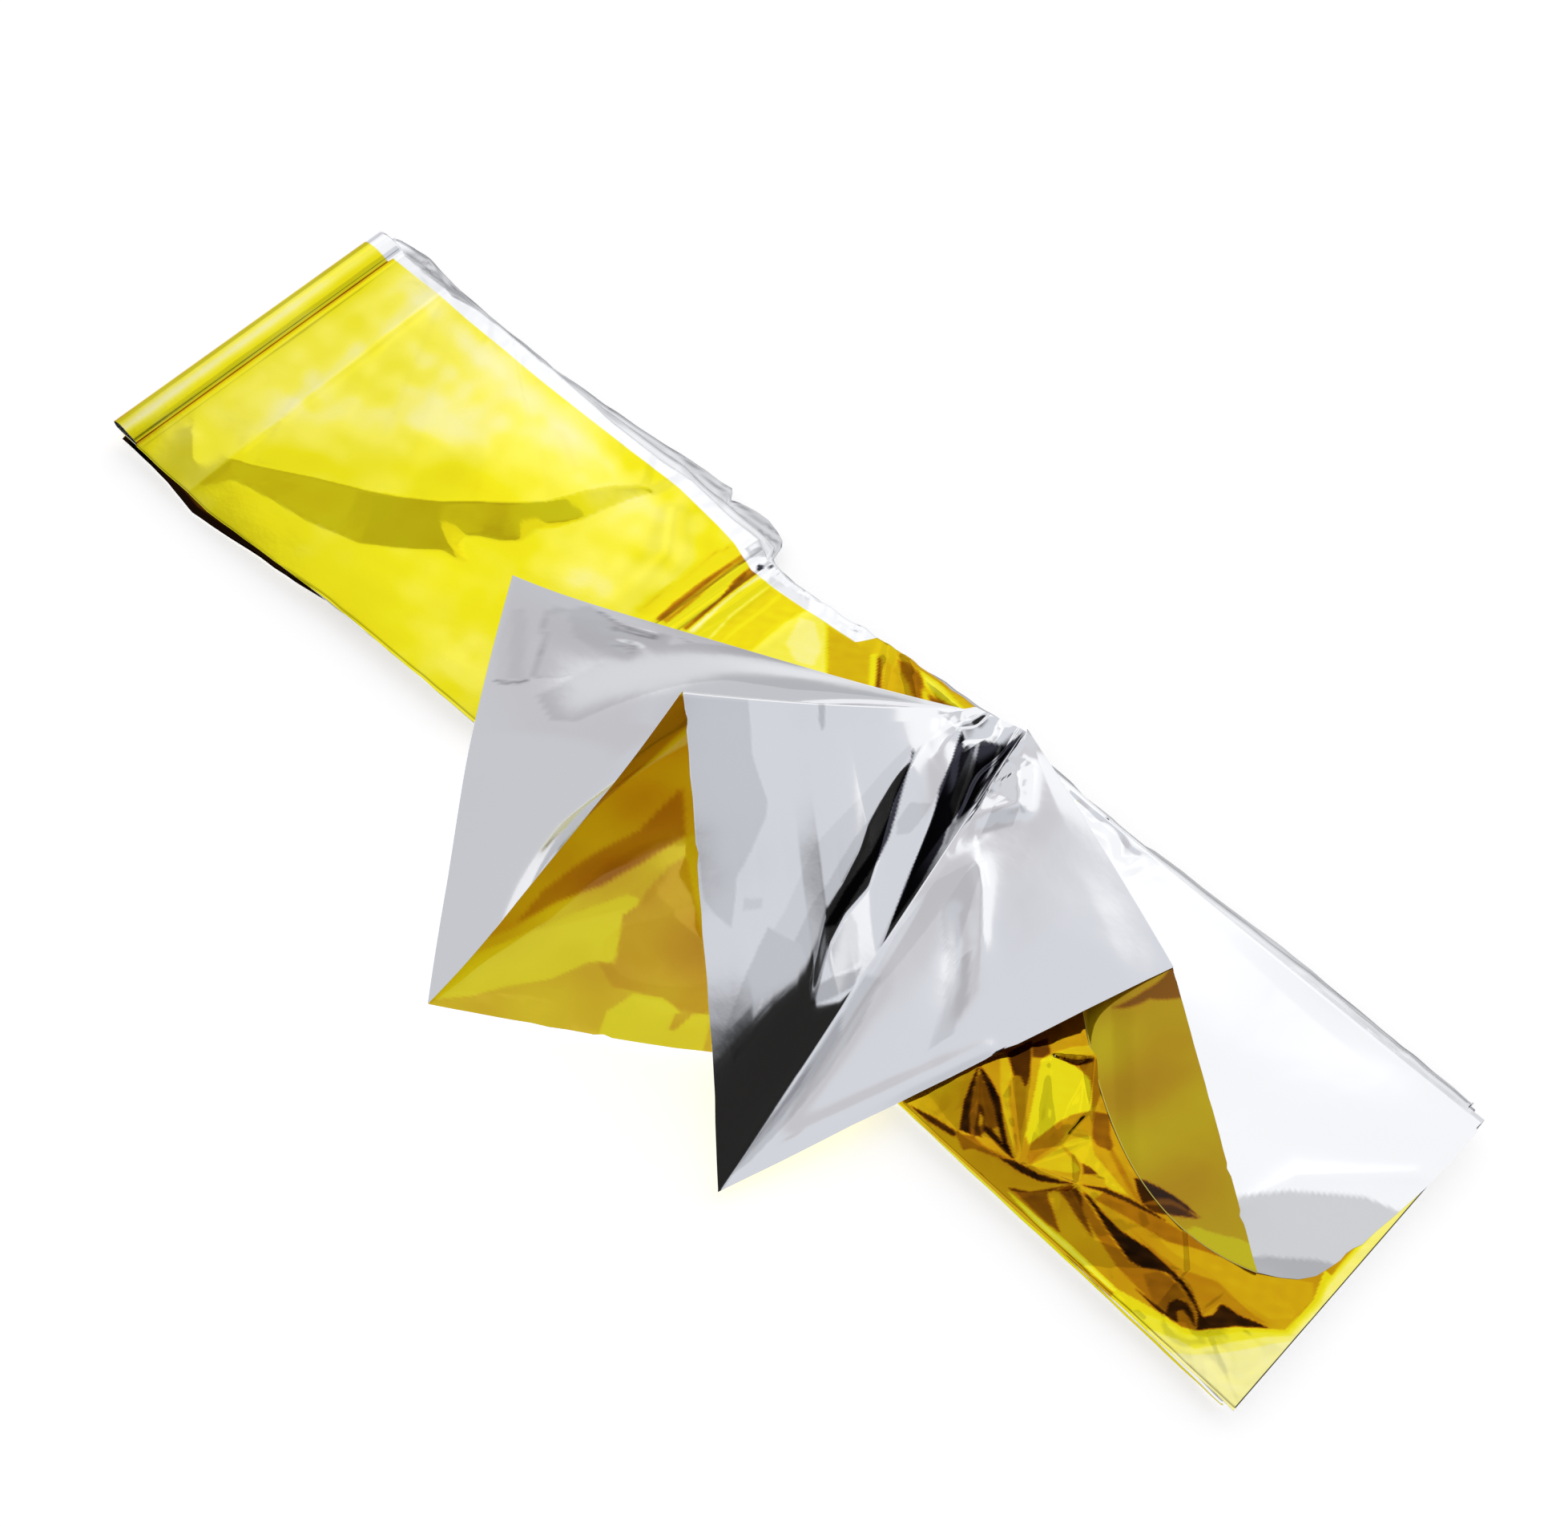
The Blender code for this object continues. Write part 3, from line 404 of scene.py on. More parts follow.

# %% Painted reflections and shade round the bundle of creases
CREASE_PAINTED_LIGHT = table("place value corners", [
    ("fine line", 0.52, "132.2 51.3, 133.3 66.8, 133.3 76.1, 135.2 82.0, 136.1 82.0, 134.2 76.1, "
        "133.8 66.6, 132.9 51.8"),
    ("gradient before the creases", 0.42, "136.1 82.0, 139.4 82.5, 138.4 75.5, 137.1 68.5, 136.7 59.8, "
        "136.0 52.4, 132.9 51.8, 133.8 66.6, 134.2 76.1"),
    ("brown crease", 0.7, "140.7 81.6, 139.6 82.4, 138.9 81.5, 138.3 75.5, 137.3 67.4, 137.0 59.5, "
        "137.4 53.0, 140.2 54.0, 140.5 62.3, 140.4 68.8, 140.5 77.0, 141.7 81.4"),
    ("its darkest line", 0.8, "139.0 77.6, 138.0 71.3, 137.9 64.9, 137.6 57.9, 137.8 53.3, 138.4 53.5, "
        "138.7 58.2, 139.0 65.2, 139.5 71.1, 139.8 77.3"),
    ("its light line", 0.55, "140.1 81.1, 139.2 74.6, 139.1 66.4, 138.9 60.3, 139.4 53.7, 139.8 53.9, "
        "139.6 60.4, 139.9 66.6, 139.9 74.8, 140.6 81.0"),
    ("yellow between", 0.37, "141.8 81.2, 140.6 76.9, 140.5 68.7, 140.6 62.2, 140.3 54.0, 143.6 55.3, "
        "143.6 61.0, 144.1 68.0, 142.9 74.1, 142.8 78.4, 142.7 80.6"),
    ("second crease", 0.74, "143.0 80.6, 144.7 80.3, 145.9 79.5, 145.5 74.6, 145.2 68.5, 145.1 63.0, "
        "145.3 56.1, 143.8 55.4, 143.9 62.5, 144.2 68.1, 142.9 74.0, 142.9 78.4"),
    ("its darker line", 0.84, "143.0 78.1, 143.2 74.2, 143.9 71.1, 144.3 66.7, 144.2 62.2, 144.2 58.5, "
        "144.7 59.2, 145.2 63.5, 144.9 68.8, 144.6 73.7, 144.3 77.5"),
    ("pale between", 0.04, "146.2 79.4, 147.2 79.4, 146.1 72.1, 146.1 66.6, 146.7 56.7, 145.2 55.9, "
        "145.2 63.9, 145.4 70.5, 145.9 77.0"),
    ("yellow", 0.37, "147.2 79.4, 149.8 79.0, 149.4 73.3, 149.3 66.6, 150.0 58.0, 146.8 56.7, 146.2 66.7, "
        "146.3 72.1"),
    ("light line", 0.14, "150.1 79.3, 150.3 78.5, 149.7 66.6, 150.7 58.3, 150.2 58.1, 149.2 66.5, "
        "149.5 73.4"),
    ("olive", 0.47, "150.5 78.7, 154.6 79.9, 161.0 80.2, 160.0 78.4, 159.4 74.4, 158.8 68.6, 159.8 62.5, "
        "154.0 59.5, 150.7 58.3, 149.7 66.6, 150.0 72.7"),
    ("light stripe", 0.36, "153.3 79.2, 153.5 73.2, 152.7 65.3, 152.9 59.6, 153.5 59.9, 153.5 65.4, "
        "154.1 73.5, 153.9 79.3"),
    ("bright area", 0.22, "161.5 80.2, 163.5 80.6, 166.9 80.6, 168.1 80, 177.9 69.4, 168.8 65.6, "
        "159.9 62.2, 160.2 74.3"),
    ("paler in it", 0.1, "161.8 77.4, 165 79.1, 171.2 75, 173.4 70.1, 169.7 67.8, 164.3 69.7"),
    ("olive 2", 0.56, "168.1 80, 169.5 80.6, 178.9 81.9, 180.9 81.3, 187.6 73.7, 177.9 69.4"),
    ("yellow stripe", 0.36, "180.9 81.7, 182 82.7, 189.3 74.1, 187.9 73.6"),
    ("brown stripe", 0.86, "182.5 82.2, 183.5 82.4, 190.4 74.8, 189.2 74"),
    ("pale line", 0.5, "183.4 82.6, 183.8 82.7, 191 74.9, 190.5 74.8"),
    ("olive 3", 0.58, "183.8 82.8, 188.7 82.9, 192.8 81.9, 196.6 79.3, 197.8 78, 191.1 74.8"),
    ("amber 1", 0.8, "186.4 85.3, 189.3 85.8, 193 85.6, 195 84.8, 196.5 82.4, 198.7 80.7, 199.7 78.9, "
        "197.8 78, 195.8 79.9, 192.2 82, 189.1 83.2"),
    ("yellow bit", 0.46, "196.1 82.7, 197.6 83.1, 201.6 80.3, 199.7 78.9"),
    ("amber 2", 0.84, "198.1 82.8, 201.4 84, 206.8 84.5, 201.6 80.3"),
    ("yellow stripe 2", 0.28, "192.3 86.4, 195.7 87.1, 200.9 86.4, 207.8 85.2, 206.5 84.6, 201.1 84.3, "
        "195.6 84.3"),
    ("olive 4", 0.54, "196.1 87.3, 202.9 87.4, 213.4 89.1, 213.5 87.6, 207.8 85.2, 201.1 86.5"),
    ("outer brown", 0.66, "185.2 86.6, 194.8 87.4, 213.7 89.3, 213.6 88.8, 195 86.6, 185.7 86"),
])
# painted shade on the bare silver: how dark it is drawn where the film is folded into a small dark knot, and beside it
KNOT_PAINTED_SHADE = table("place value corners", [
    ("knot", 0.97, "143.9 81.1, 143.9 81.9, 145.0 82.3, 146.0 81.7, 145.5 80.2, 144.6 80.4"),
    ("knot right", 0.9, "146.1 82.5, 146.4 84.1, 147.2 84.0, 146.9 82.5"),
    ("grey lens", 0.32, "138.2 82.8, 138.4 84.7, 138.9 88.0, 141.0 86.7, 143.3 86.2, 143.9 84.6, "
        "142.3 83.5, 141.5 81.5, 140.0 82.4"),
    ("grey lens light", 0.12, "138.6 83.8, 139.1 86.3, 140.3 85.5, 139.8 83.3"),
    ("right sheet", 0.2, "148.4 81.3, 154.2 82.2, 159.6 83.1, 162.1 80.4, 160.8 79.9, 156.1 79.7, "
        "149.3 79.5"),
    ("line", 0.45, "145.1 84.7, 144.1 86.5, 144.9 90.3, 145.2 89.6, 144.8 86.3, 145.4 84.9"),
])
# a painted reflection: one small facet of the olive band drawn in its own tone
BAND_PAINTED_LIGHT = table("place value corners", [
    ("small facet", 0.46, "104 62.2, 98 54.4, 96 50, 101 55"),
])
print("areas of their own tone:", len(CORNER_PAINTED_LIGHT) + len(CREASE_PAINTED_LIGHT) + len(BAND_PAINTED_LIGHT))


# %% The strip's surface
def half_turn(x, low, high, side, count=7):
    """Half circle in the section from one run's height to the next, bulging past the strip's end."""
    angle = np.linspace(0, math.pi, count + 2)[1:-1]
    radius = (high - low) / 2
    return x + side * radius * np.sin(angle), (low + high) / 2 - radius * np.cos(angle)


def cuff_section(low):
    """Half ellipse round the nose, a crown that falls away as a parabola, then a short S down to the top layer."""
    angle = np.linspace(0, math.pi, 22)
    nose_top = low + CUFF["height"]
    crown_end = CUFF["width"] - CUFF["step"]
    crown = np.linspace(CUFF["nose"], crown_end, 14)[1:]
    crown_fall = CUFF["crown"] * ((crown - CUFF["nose"]) / (crown_end - CUFF["nose"])) ** 2
    step = np.linspace(0, 1, 10)[1:-1]
    x = np.concatenate([CUFF["nose"] * (1 - np.sin(angle)), crown, crown_end + CUFF["step"] * step])
    z = np.concatenate([low + CUFF["height"] / 2 * (1 - np.cos(angle)), nose_top - crown_fall,
                        TOP_RUN + (nose_top - CUFF["crown"] - TOP_RUN) * (1 - step) ** 1.6])
    return x, z


def nicked(x, seed, step, size):
    """Uneven cut edge: random offsets at even steps, joined by straight lines."""
    knots = np.arange(-10.0, 380.0, step)
    return size * np.interp(x, knots, np.random.default_rng(seed).uniform(-1, 1, len(knots)))


def strip_section(levels, top_places):
    """The section's x and z through some of the runs and the turns between them, and each point's run."""
    pieces = []
    for level in levels:
        run, last = RUNS[level], level == len(RUNS) - 1
        x = top_places if last else np.linspace(run["start"], run["end"], 300)
        if level == len(RUNS) - 2 and len(levels) == 2:
            x = np.linspace(14.0, run["end"], 3)
        z = np.full_like(x, run["height"])
        if level != levels[-1]:
            above, side = RUNS[level + 1]["height"], 1 if run["end"] > run["start"] else -1
            turn_x, turn_z = half_turn(run["end"], run["height"], above, side)
            if level == len(RUNS) - 2:
                turn_x, turn_z = cuff_section(run["height"])
            x, z = np.concatenate([x, turn_x]), np.concatenate([z, turn_z])
        pieces.append(np.stack([x, z, np.full_like(x, level)], 1))
    return np.concatenate(pieces).T


def edge_line(number, side, x):
    """One long edge of a run, as a distance from the strip's straight edge at each x."""
    row = BARE if side == "bare" else next(row for row in EDGES if row["run"] == number)
    stations, places = (np.array(row[key].split(","), float) for key in ("stations", side))
    return np.interp(x, stations, places)


def strip_surface(levels, across, top_places=None):
    """Grid of points: rows follow the strip's section through some of its runs, columns cross the strip.
    Also gives each point's place on the film, along it and in from its bare edge, and its tone, which holds painted
    reflections and shade as well as the gold's own unevenness."""
    x, z, level = strip_section(levels, top_places)
    low, high = np.zeros_like(x), np.zeros_like(x)
    for number in levels:
        here = level == number
        places = x[here]
        low[here] = edge_line(number, "low", places) + nicked(places, 40 + number, 4, 0.10)
        pulled = smooth((places - 143) / 3) * smooth((232 - places) / 9)
        high[here] = (STRIP_WIDTH + edge_line(number, "high", places) + nicked(places, 50 + number, 5, 0.15)
                      + pulled * nicked(places, 60 + number, 3.3, 0.35))
    y = low[:, None] + (high - low)[:, None] * across
    x, z, level = (np.repeat(row[:, None], len(across), 1) for row in (x, z, level))
    from_edge = y - low[:, None]
    hang = smooth((x - 4.0) / 14.0) * smooth((80.0 - x) / 24.0) * smooth((3.0 - from_edge) / 3.0)
    z = np.where(level < 2, z - (z - 0.15) * hang, z)
    gap = np.interp(level, range(6), (0.0, 1.0, 0.9, 0.8, 0.7, 1.05))
    droops = gap * (0.80 + 0.12 * waves(x + 40 * level, y, 79, 30.0, 1.0)) * smooth((x - 62.0) / 20.0)
    z = z - np.where(level == len(RUNS) - 1, np.clip(droops + 0.4 * gap * smooth((62 - x) / 20), 0, 1.1), droops) * (
        smooth((0.45 - from_edge) / 0.45))
    tone = 0.40 + 0.05 * waves(x, y, 71, 60.0, 1.0) + 0 * level
    # painted shade: the second layer is drawn near black along its lower edge, where the side of the stack lies in
    # shade
    tone = np.where(level == 1, tone + (1 - tone) * smooth((4.0 - from_edge) / 1.5) * smooth((92 - x) / 10), tone)
    if levels[-1] == len(RUNS) - 1:
        relief, tone = top_relief(x, y)
        z = np.where(level == levels[-1], z + relief, z)
    else:
        z = z + smooth((y - 83.0) / 2.0) * facets(x, y, 25, 6.0, 0.22)
    grid = np.stack([x, y, z], 2)
    middle = grid[:, len(across) // 2]
    along = np.cumsum(np.linalg.norm(np.diff(middle, axis=0, prepend=middle[:1]), axis=1))
    bare = np.where(level == len(RUNS) - 1, edge_line(0, "bare", x), high[:, None] - 5.0)
    inwards = 5.0 + bare - y
    film = np.stack([np.repeat(along[:, None], len(across), 1), inwards], 2)
    return grid, film, tone


TOP_PAINTED_LIGHT = table("path change left right", [
    # painted highlights: the lacquer is drawn paler along some bands
    (((29.2, 0), (27.8, 40), (26.3, 88)), (-0.08, -0.14, -0.16), (4.2, 4.2, 4.2), (0.35, 0.35, 0.35)),
    (((12, 79), (60, 78), (110, 75), (134, 74)), (-0.04, -0.14, -0.16, -0.06), (4, 4, 4, 4), (8, 10, 9, 6)),
    (((36, 44), (70, 62), (88, 70)), (-0.06, -0.08, -0.05), (9, 10, 9), (7, 8, 7)),
    (((118, 50), (134, 62)), (-0.12, -0.10), (6, 5), (8, 6)),
    (((4.3, 0), (4.3, 40), (4.3, 88)), (-0.28, -0.22, -0.06), (1.4, 1.2, 1.2), (1.4, 1.2, 1.2)),
    # and painted shade along the cuff's creases and beside the bundle of creases
    (((0.6, 0), (0.6, 88)), (0.30, 0.30), (1.0, 1.0), (1.0, 1.0)),
    (((6.8, 0), (6.8, 88)), (0.10, 0.10), (1.4, 1.4), (1.4, 1.4)),
    (((8.8, 0), (8.8, 88)), (0.62, 0.62), (0.22, 0.22), (0.22, 0.22)),
    (((9.3, 0), (9.3, 88)), (0.06, 0.06), (0.6, 0.6), (4.0, 4.0)),
    (((131, 78), (136, 70), (135, 56)), (0.10, 0.12, 0.1), (3, 3, 3), (3, 3, 3)),
])


def top_relief(x, y):
    """What the top layer adds to its level height, and its tone: 0 is pale, 1 is near black. The tone holds painted
    highlights, reflections and shade as well as the gold's own unevenness.
    """
    flat = np.stack([x, y], 2)
    height = waves(x, y, 3, 70.0, 0.14) + waves(x, y, 5, 20.0, 0.02)
    for row in TOP_FOLDS:
        height += fold(flat, row["path"], row["heights"], row["left"], row["right"], row["sharp"])
    height += terrace(flat, BAND_FOOT, BAND_TOP, BAND_RISES, BAND_FALLS)
    height = height * smooth((x - 9.0) / 5.0) - 0.45 * np.exp(-np.maximum(x - 9.0, 0) / 1.2) * smooth((x - 9.0) / 0.8)
    tugged = smooth((y - 80.5) / 4.0) * smooth((262.0 - x) / 20.0) * (0.35 + 0.65 * smooth((x - 143.0) / 6.0))
    height += tugged * (facets(x, y, 21, 5.0, 0.12) + facets(x, y, 23, 2.2, 0.13))
    height = crushed(x, y, height)
    to_flap, under_flap, _ = along_path(flat, outline("268 62, 277 51, 286 48, 296 41, 304 34, 318 29, 336 23.5, 366 22"))
    height -= (height + 0.25) * smooth(to_flap / 2.4) * (under_flap & (x > 262))
    rough = smooth((x - 252.0) / 20.0)
    height += 0.06 * rough * facets(x, y, 27, 3.0, 1.0)
    tone = 0.34 + 0.02 * waves(x, y, 71, 34.0, 1.0) + 0.012 * waves(x, y, 73, 12.0, 1.0)
    # painted highlights: paler towards the strip's upper left, and in soft cloud-like patches
    tone -= 0.07 * smooth((y - 0.9 * (x - 30.0) - 8.0) / 24.0) * smooth((110.0 - x) / 30.0)
    clouds = smooth(0.5 + 0.3 * waves(0.40 * x, y - 0.10 * x, 75, 16.0, 1.0) + 0.15 * waves(x, y, 76, 9.0, 1.0))
    tone -= 0.10 * clouds * smooth((y - 0.72 * (x - 30.0) - 10.0) / 26.0) * smooth((x - 10.0) / 6.0) * (x < 150)
    tone -= 0.10 * clouds * smooth((x - 90.0) / 26.0) * smooth((141.0 - x) / 6.0)
    # painted reflections: darker past the bundle of creases and towards the crushed corner
    tone += 0.10 * smooth((x - 148.0) / 10.0) + 0.10 * smooth((x - 168.0) / 8.0)
    tone += 0.10 * rough
    # painted reflection: the olive band is drawn darker
    band = inside(flat, np.concatenate([BAND_FOOT, BAND_TOP[::-1]]))
    tone += 0.10 * band
    for row in TOP_PAINTED_LIGHT:
        tone += fold(flat, row["path"], row["change"], row["left"], row["right"], False)
    # outlines of painted reflections, highlights and shade, each with a fine unevenness of its own
    even = tone
    cell = (0.36, 0.40) if x.min() > 200 else (0.8, 0.8)
    tone = painted(x, y, tone, BAND_PAINTED_LIGHT + CREASE_PAINTED_LIGHT + CORNER_PAINTED_LIGHT, cell)
    tone += 0.006 * waves(x, y, 77, 3.0, 1.0) * (tone != even)
    return height, np.clip(tone, 0, 1)


# %% [markdown]
# ## The flap and the fan
#
# At the strip's right half the film turns over its upper edge and lies back as a flap, silver side up. From there
# it turns again and again about creases that all run to one pinch. Between two creases the film is a ruled
# surface: straight lines from one crease to the next.

# %% The fan's creases
LINES = {row["name"]: row for row in table("name inner outer bow skew", [
    ("flap root", (236.0, 86.4, FLAP_HEIGHT), (352.4, 84.9, FLAP_HEIGHT - 0.1), (0.0, 0.0, 0.0), 1.0),
    ("flap turn", (237.0, 80.5, FLAP_HEIGHT), (340.6, 25.6, TOP_RUN + 0.12), (-2.0, -17.0, 0.0), 1.5),
    ("right ridge", (223.5, 87.7, 13.4), (285.4, 64.6, 12.4), (0.0, 0.0, 1.0), 1.0),
    ("valley", (222.5, 88.3, 11.2), (247.6, -38.6, 2.8), (1.6, -5.0, 1.8), 0.7),
    ("left ridge", (209.5, 82.2, 13.0), (171.3, 28.7, 39.5), (0.0, 0.0, -1.5), 1.0),
    ("left turn", (104.5, 37.8, 0.0), (170.9, -50.9, 0.0), (-1.2, -1.2, 0.0), 1.0),
    ("hidden end", (212.0, 77.0, 0.0), (233.0, -11.0, 0.0), (0.0, 0.0, 0.0), 1.0),
])}
FLAP_END = ((0, 0.03, 0.10, 0.19, 0.33, 0.51, 0.67, 0.80, 0.87, 0.92, 0.96, 1),
            (0, 0.42, 0.54, 0.66, 0.80, 0.93, 1.02, 1.02, 0.96, 0.78, 0.46, 0))
DRAPE = {"top": 1.0, "floor": -30.0, "height": 0.25}
COLUMNS = 168


def drape(y):
    """Height of the lowest panel: level on the strip, then down to the floor beyond its lower edge."""
    return FLAP_HEIGHT + (DRAPE["height"] - FLAP_HEIGHT) * smooth((DRAPE["top"] - y) / (DRAPE["top"] - DRAPE["floor"]))


def crease_line(name):
    """Points of one crease: straight from the pinch outwards, plus a parabola that may lean to one end."""
    line = LINES[name]
    inner, outer, bow = (np.array(line[key]) for key in ("inner", "outer", "bow"))
    t = np.linspace(0, 1, COLUMNS)[:, None]
    leaning = t ** line["skew"]
    return inner + t * (outer - inner) + 4 * leaning * (1 - leaning) * bow


def raised(line, lift):
    """The same line, higher by lift."""
    return line + np.array([0.0, 0.0, lift])


def sharp_fold(low, high, side, count=5):
    """Half round from one line to another over it, bulging level to one side of them."""
    tangent = np.gradient(low[:, :2], axis=0)
    tangent /= np.linalg.norm(tangent, axis=1)[:, None]
    outward = side * np.stack([-tangent[:, 1], tangent[:, 0], np.zeros(len(low))], 1)
    middle, half = (low + high) / 2, (high - low) / 2
    radius = np.linalg.norm(half, axis=1)[:, None]
    angles = np.linspace(0, math.pi, count + 2)[1:-1, None, None]
    return middle - half * np.cos(angles) + outward * radius * np.sin(angles)


def ruled(first, last, count, edge_bow=(0, 0, 0), root_bow=(0, 0, 0), shape=None):
    """Straight lines from crease to crease. The panel's outer and inner free edges may bow, the outer one by a
    shape of its own: two rows of places from crease to crease and shares of the bow."""
    s = np.linspace(0, 1, count)[:, None, None]
    t = np.linspace(0, 1, COLUMNS)[None, :, None]
    bulge = 1 - (2 * s - 1) ** 4
    outer = bulge if shape is None else np.interp(s, *shape)
    return (first + s * (last - first) + outer * t ** 6 * np.array(edge_bow)
            + bulge * (1 - t) ** 6 * np.array(root_bow))


def normals(points):
    """Unit normals of a grid of points, from its rows and columns."""
    rows, columns = np.gradient(points, axis=0), np.gradient(points, axis=1)
    normal = np.cross(rows, columns)
    normal *= np.sign(normal[..., 2:3])
    return normal / np.maximum(np.linalg.norm(normal, axis=2), 1e-9)[..., None]


PANEL_FOLDS = table("panel path heights left right sharp", [
    # the steep panel: its light left part is dented
    ("pleats", ((0.97, 0.54), (0.90, 0.53)), (0.10, 0.06), (2.0, 2.0), (2.0, 2.0), 0),
    # the right panel: a lip beside the pinch and soft wrinkles down from it
    ("right", ((0.62, 0.09), (0.40, 0.13), (0.40, 0.23), (0.62, 0.21), (0.82, 0.19)), (0.6, 1.2, 1.2, 0.8, 0.3),
     (2, 2.5, 3, 3, 3), (2, 2.5, 2.5, 2.5, 2.5), 0),
    ("right", ((0.593, 0.367), (0.533, 0.443), (0.48, 0.603), (0.47, 0.70)), (0.4, 0.5, 0.4, 0.1), (3, 3, 3, 3),
     (1.2, 1.2, 1.2, 2), 1),
    ("right", ((0.61, 0.49), (0.55, 0.60), (0.53, 0.72), (0.58, 0.86)), (-0.2, -0.35, -0.35, -0.1), (2.5, 3, 4, 4),
     (2.5, 3, 3, 4), 0),
    ("right", ((0.957, 0.55), (0.955, 0.68), (0.967, 0.79), (0.985, 0.93)), (-0.3, -0.5, -0.5, -0.2), (2, 2, 2, 2),
     (3, 3, 3, 3), 0),
    ("right", ((0.42, 0.965), (0.62, 0.955), (0.84, 0.94)), (0.2, 0.3, 0.2), (2, 2, 2), (2, 3, 3), 0),
    # the left panel: a few shallow dents near its top corner
    ("left", ((0.76, 0.06), (0.72, 0.04), (0.65, 0.04), (0.71, 0.06), (0.76, 0.06)), (0.16, 0.16, 0.16, 0.16, 0.16),
     (0.7, 0.7, 0.7, 0.7, 0.7), (0.7, 0.7, 0.7, 0.7, 0.7), 1),
    ("left", ((0.73, 0.10), (0.68, 0.10), (0.70, 0.12)), (0.2, 0.2, 0.2), (0.8, 0.8, 0.8), (0.8, 0.8, 0.8), 1),
    # the lowest panel: one flat crease and a few facets
    ("lowest", ((0.0, 0.96), (0.26, 0.79), (0.53, 0.68), (0.58, 0.54)), (0.2, 0.6, 0.6, 0.5), (6, 8, 8, 8),
     (4, 5, 5, 5), 1),
    ("lowest", ((0.42, 0.84), (0.51, 0.88), (0.65, 0.89), (0.81, 0.91)), (0.4, 0.4, 0.4, 0.3), (4, 4, 4, 4),
     (4, 4, 4, 4), 1),
    # the flap: a crease across its loose end
    ("flap", ((0.80, 0.85), (0.58, 0.87), (0.30, 0.98)), (0.2, 0.4, 0.3), (4, 5, 5), (2, 2, 2), 1),
])
PLEAT_LINES = (                                   # rows of t, s and height, from the valley to the left ridge
    # the right pleat's ridge, then the foot of the light pleat beside it
    ((0.05, 0.86, 1.6), (0.107, 0.60, 3.0), (0.14, 0.50, 2.9), (0.21, 0.36, 2.7), (0.277, 0.23, 2.0),
     (0.353, 0.12, 1.2), (0.42, 0.05, 0.5), (0.47, 0, 0), (0.54, 0, 0), (0.60, 0.025, 0.35), (0.65, 0.073, 1.1),
     (0.69, 0.107, 1.7), (0.72, 0.05, 0.8), (0.74, 0, 0)),
    # the light pleat's other edge, where the left dark band starts
    ((0.05, 0.93, 0.8), (0.107, 0.80, 1.7), (0.15, 0.75, 1.0), (0.20, 0.70, 0.4), (0.26, 0.62, 0.2),
     (0.34, 0.49, -0.6), (0.40, 0.35, -1.1), (0.46, 0.25, -1.2), (0.54, 0.25, -1.4), (0.60, 0.21, -1.5),
     (0.65, 0.15, 0.25), (0.69, 0.11, 1.7), (0.72, 0.06, 0.9), (0.74, 0.01, 0)),
    # the left dark band's soft ridge
    ((0.05, 0.96, 0.5), (0.107, 0.82, 1.5), (0.15, 0.77, 0.9), (0.20, 0.72, 0.4), (0.25, 0.66, 0.3),
     (0.31, 0.61, 0.6), (0.39, 0.53, 0.9), (0.443, 0.475, 1.4), (0.477, 0.41, 1.0), (0.547, 0.34, 0.2),
     (0.60, 0.31, 0.3), (0.64, 0.25, 1.7), (0.67, 0.23, 2.8), (0.72, 0.215, 3.3), (0.81, 0.227, 3.6),
     (0.87, 0.225, 3.6), (0.93, 0.22, 3.4), (1, 0.22, 3.2)),
)


def pleats(s, t):
    """Height of the steep panel's pleats: at each t it runs in straight lines over s through the three lines of
    the table. Each straight line adds (its rise) x clip((s - its start) / its length, 0, 1). The mean over a
    few neighbouring s rounds the crests."""
    start_s, start_height, total = 0 * t, 0 * t, 0
    spread = 0.010 + 0.045 * smooth((t - 0.5) / 0.4)
    for rows in PLEAT_LINES + (((0, 1, 0), (1, 1, 0)),):
        places, next_s, next_height = np.array(rows).T
        end_s, end_height = np.interp(t, places, next_s), np.interp(t, places, next_height)
        length = np.maximum(end_s - start_s, 1e-3)
        for offset in (-1, -0.5, 0, 0.5, 1):
            total = total + (end_height - start_height) * np.clip((s + offset * spread - start_s) / length, 0, 1) / 5
        start_s, start_height = end_s, end_height
    return total


def flattened(points):
    """A panel's points in its own plane, in millimetres: along its first crease and square to that."""
    first = points[0, -1] - points[0, 0]
    first /= np.linalg.norm(first)
    second = points[-1, -1] - points[0, 0]
    second -= first * (second @ first)
    second /= np.linalg.norm(second)
    return (points - points[0, 0]) @ np.stack([first, second], 1)


